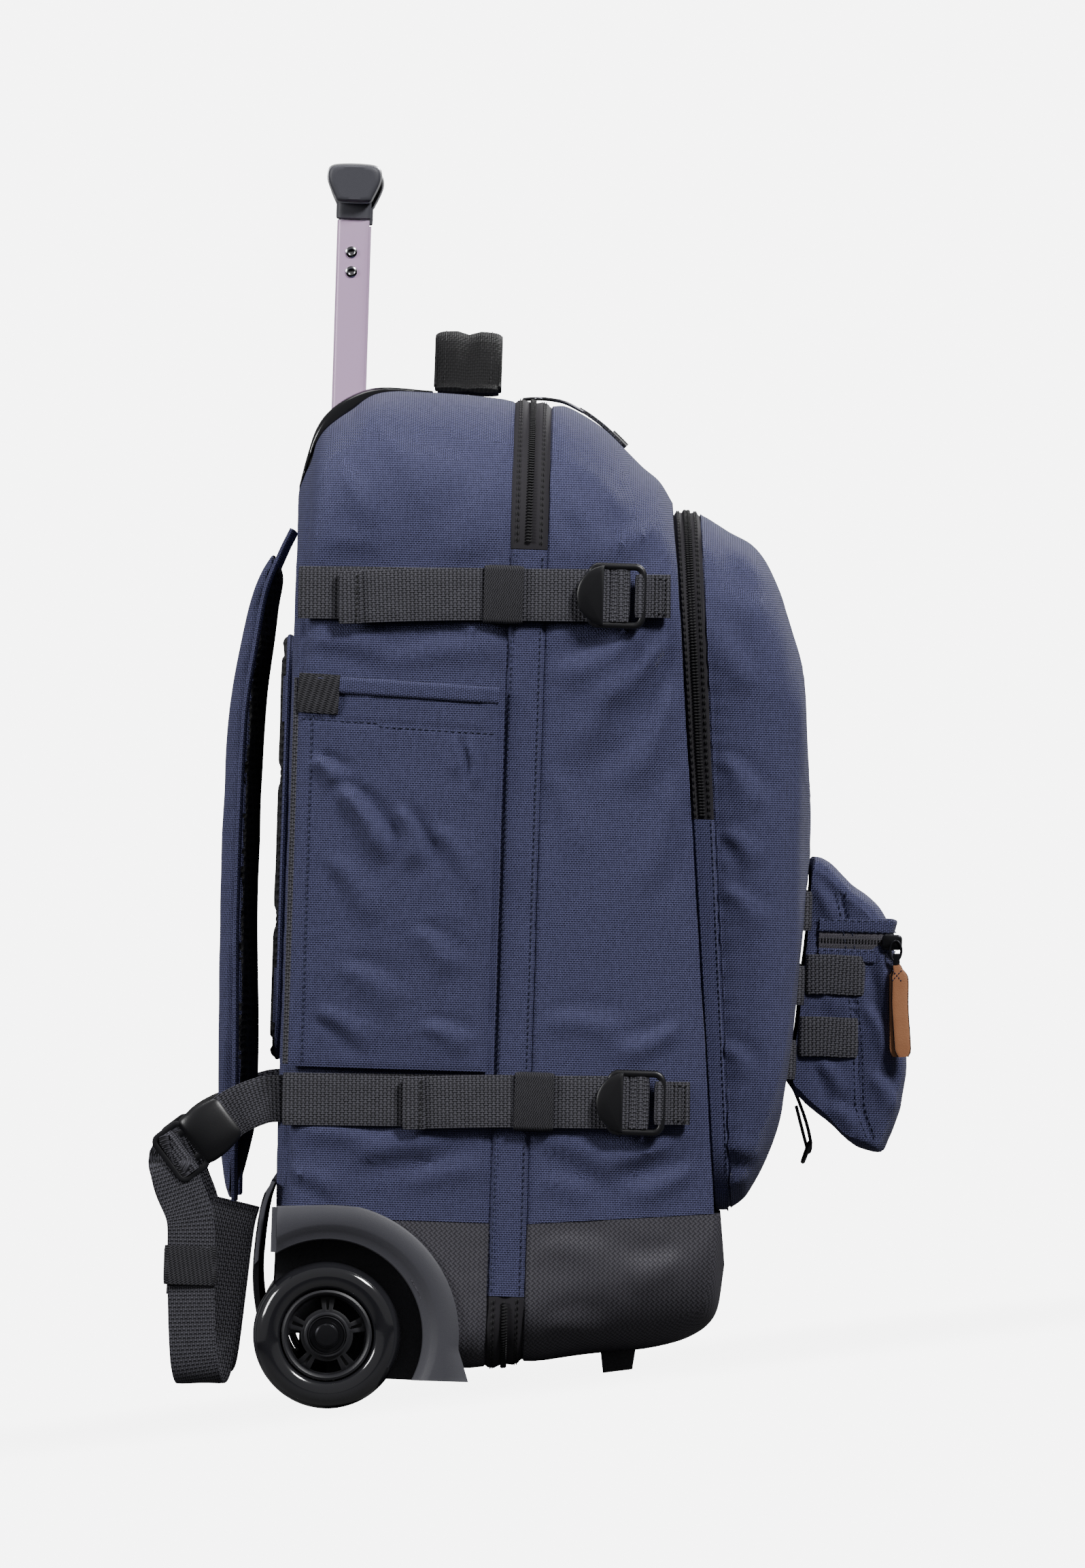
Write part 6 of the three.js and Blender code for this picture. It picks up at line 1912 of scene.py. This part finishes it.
def makeCamera():
    data = bpy.data.cameras.new("camera")
    obj = linked("camera", data)
    bpy.context.scene.camera = obj
    middleX = (photo["wide"] / 2 - photo["axleX"]) * photo["mmPerPixel"]
    middleY = (photo["axleY"] - photo["tall"] / 2) * photo["mmPerPixel"]
    turn = math.radians(photo["turn"])
    d = middleX * math.cos(turn) - middleY * math.sin(turn)
    h = axle["radius"] + middleX * math.sin(turn) + middleY * math.cos(turn)
    target = Vector(toRow([(-studio["near"], d, h)])[0].tolist())
    obj.location = target - Vector((studio["distance"], 0, 0))
    tall = photo["tall"] * photo["mmPerPixel"] * mm
    data.sensor_width = studio["sensor"]
    data.sensor_fit = "AUTO"
    data.lens = studio["sensor"] * studio["distance"] / tall
    roll = lean - turn
    up = Vector((0, -math.sin(roll), math.cos(roll)))
    forward = Vector((1, 0, 0))
    side = forward.cross(up)
    obj.matrix_world = Matrix(((side.x, up.x, -forward.x, obj.location.x),
        (side.y, up.y, -forward.y, obj.location.y), (side.z, up.z, -forward.z, obj.location.z),
        (0, 0, 0, 1)))
    return obj


def makeFloor():
    # pale floor that fades into the background, so that no line shows behind the bag
    points = [(-60, -60, 0), (60, -60, 0), (60, 60, 0), (-60, 60, 0)]
    obj = makeObject("floor", points, [(0, 1, 2, 3)], None)
    material, tree, shader = newMaterial("floor")
    place = addNode(tree, "ShaderNodeTexCoord").outputs["Object"]
    reach = addNode(tree, "ShaderNodeVectorMath", {0: place}, operation="LENGTH").outputs["Value"]
    fade = addNode(tree, "ShaderNodeMapRange", {0: reach, 1: 0.2, 2: 0.6, 3: studio["floorShare"], 4: 1.0},
        interpolation_type="SMOOTHSTEP").outputs[0]
    feed(tree, shader, {"Base Color": rgb("ececec"), "Roughness": 0.8, "Specular IOR Level": 0.1})
    seen = addNode(tree, "ShaderNodeLightPath").outputs["Is Camera Ray"]
    paper = addNode(tree, "ShaderNodeEmission", {"Color": studio["paper"],
        "Strength": calc(tree, "MULTIPLY", seen, studio["glow"])})
    both = addNode(tree, "ShaderNodeMixShader", {0: fade, 1: shader.outputs[0], 2: paper.outputs[0]})
    output = next(n for n in tree.nodes if n.type == "OUTPUT_MATERIAL")
    tree.links.new(both.outputs[0], output.inputs[0])
    obj.data.materials.clear()
    obj.data.materials.append(material)


def addLight(name, place, size, power):
    data = bpy.data.lights.new(name, "AREA")
    data.shape = "RECTANGLE"
    data.size, data.size_y = size
    data.energy = power
    obj = linked(name, data)
    obj.location = place
    aim = Vector(studio["aim"]) - Vector(place)
    obj.rotation_euler = aim.to_track_quat("-Z", "Y").to_euler()


def makeLights():
    world = bpy.data.worlds.new("studio")
    bpy.context.scene.world = world
    world.use_nodes = True
    tree = world.node_tree
    background = tree.nodes["Background"]
    seen = addNode(tree, "ShaderNodeLightPath").outputs["Is Camera Ray"]
    strength = calc(tree, "MULTIPLY_ADD", seen, studio["glow"] - studio["fill"], studio["fill"])
    background.inputs[0].default_value = studio["paper"]
    tree.links.new(strength, background.inputs[1])
    for light in lights:
        addLight(*light)


makeCamera()
makeFloor()
makeLights()
print("camera, floor and lights made")
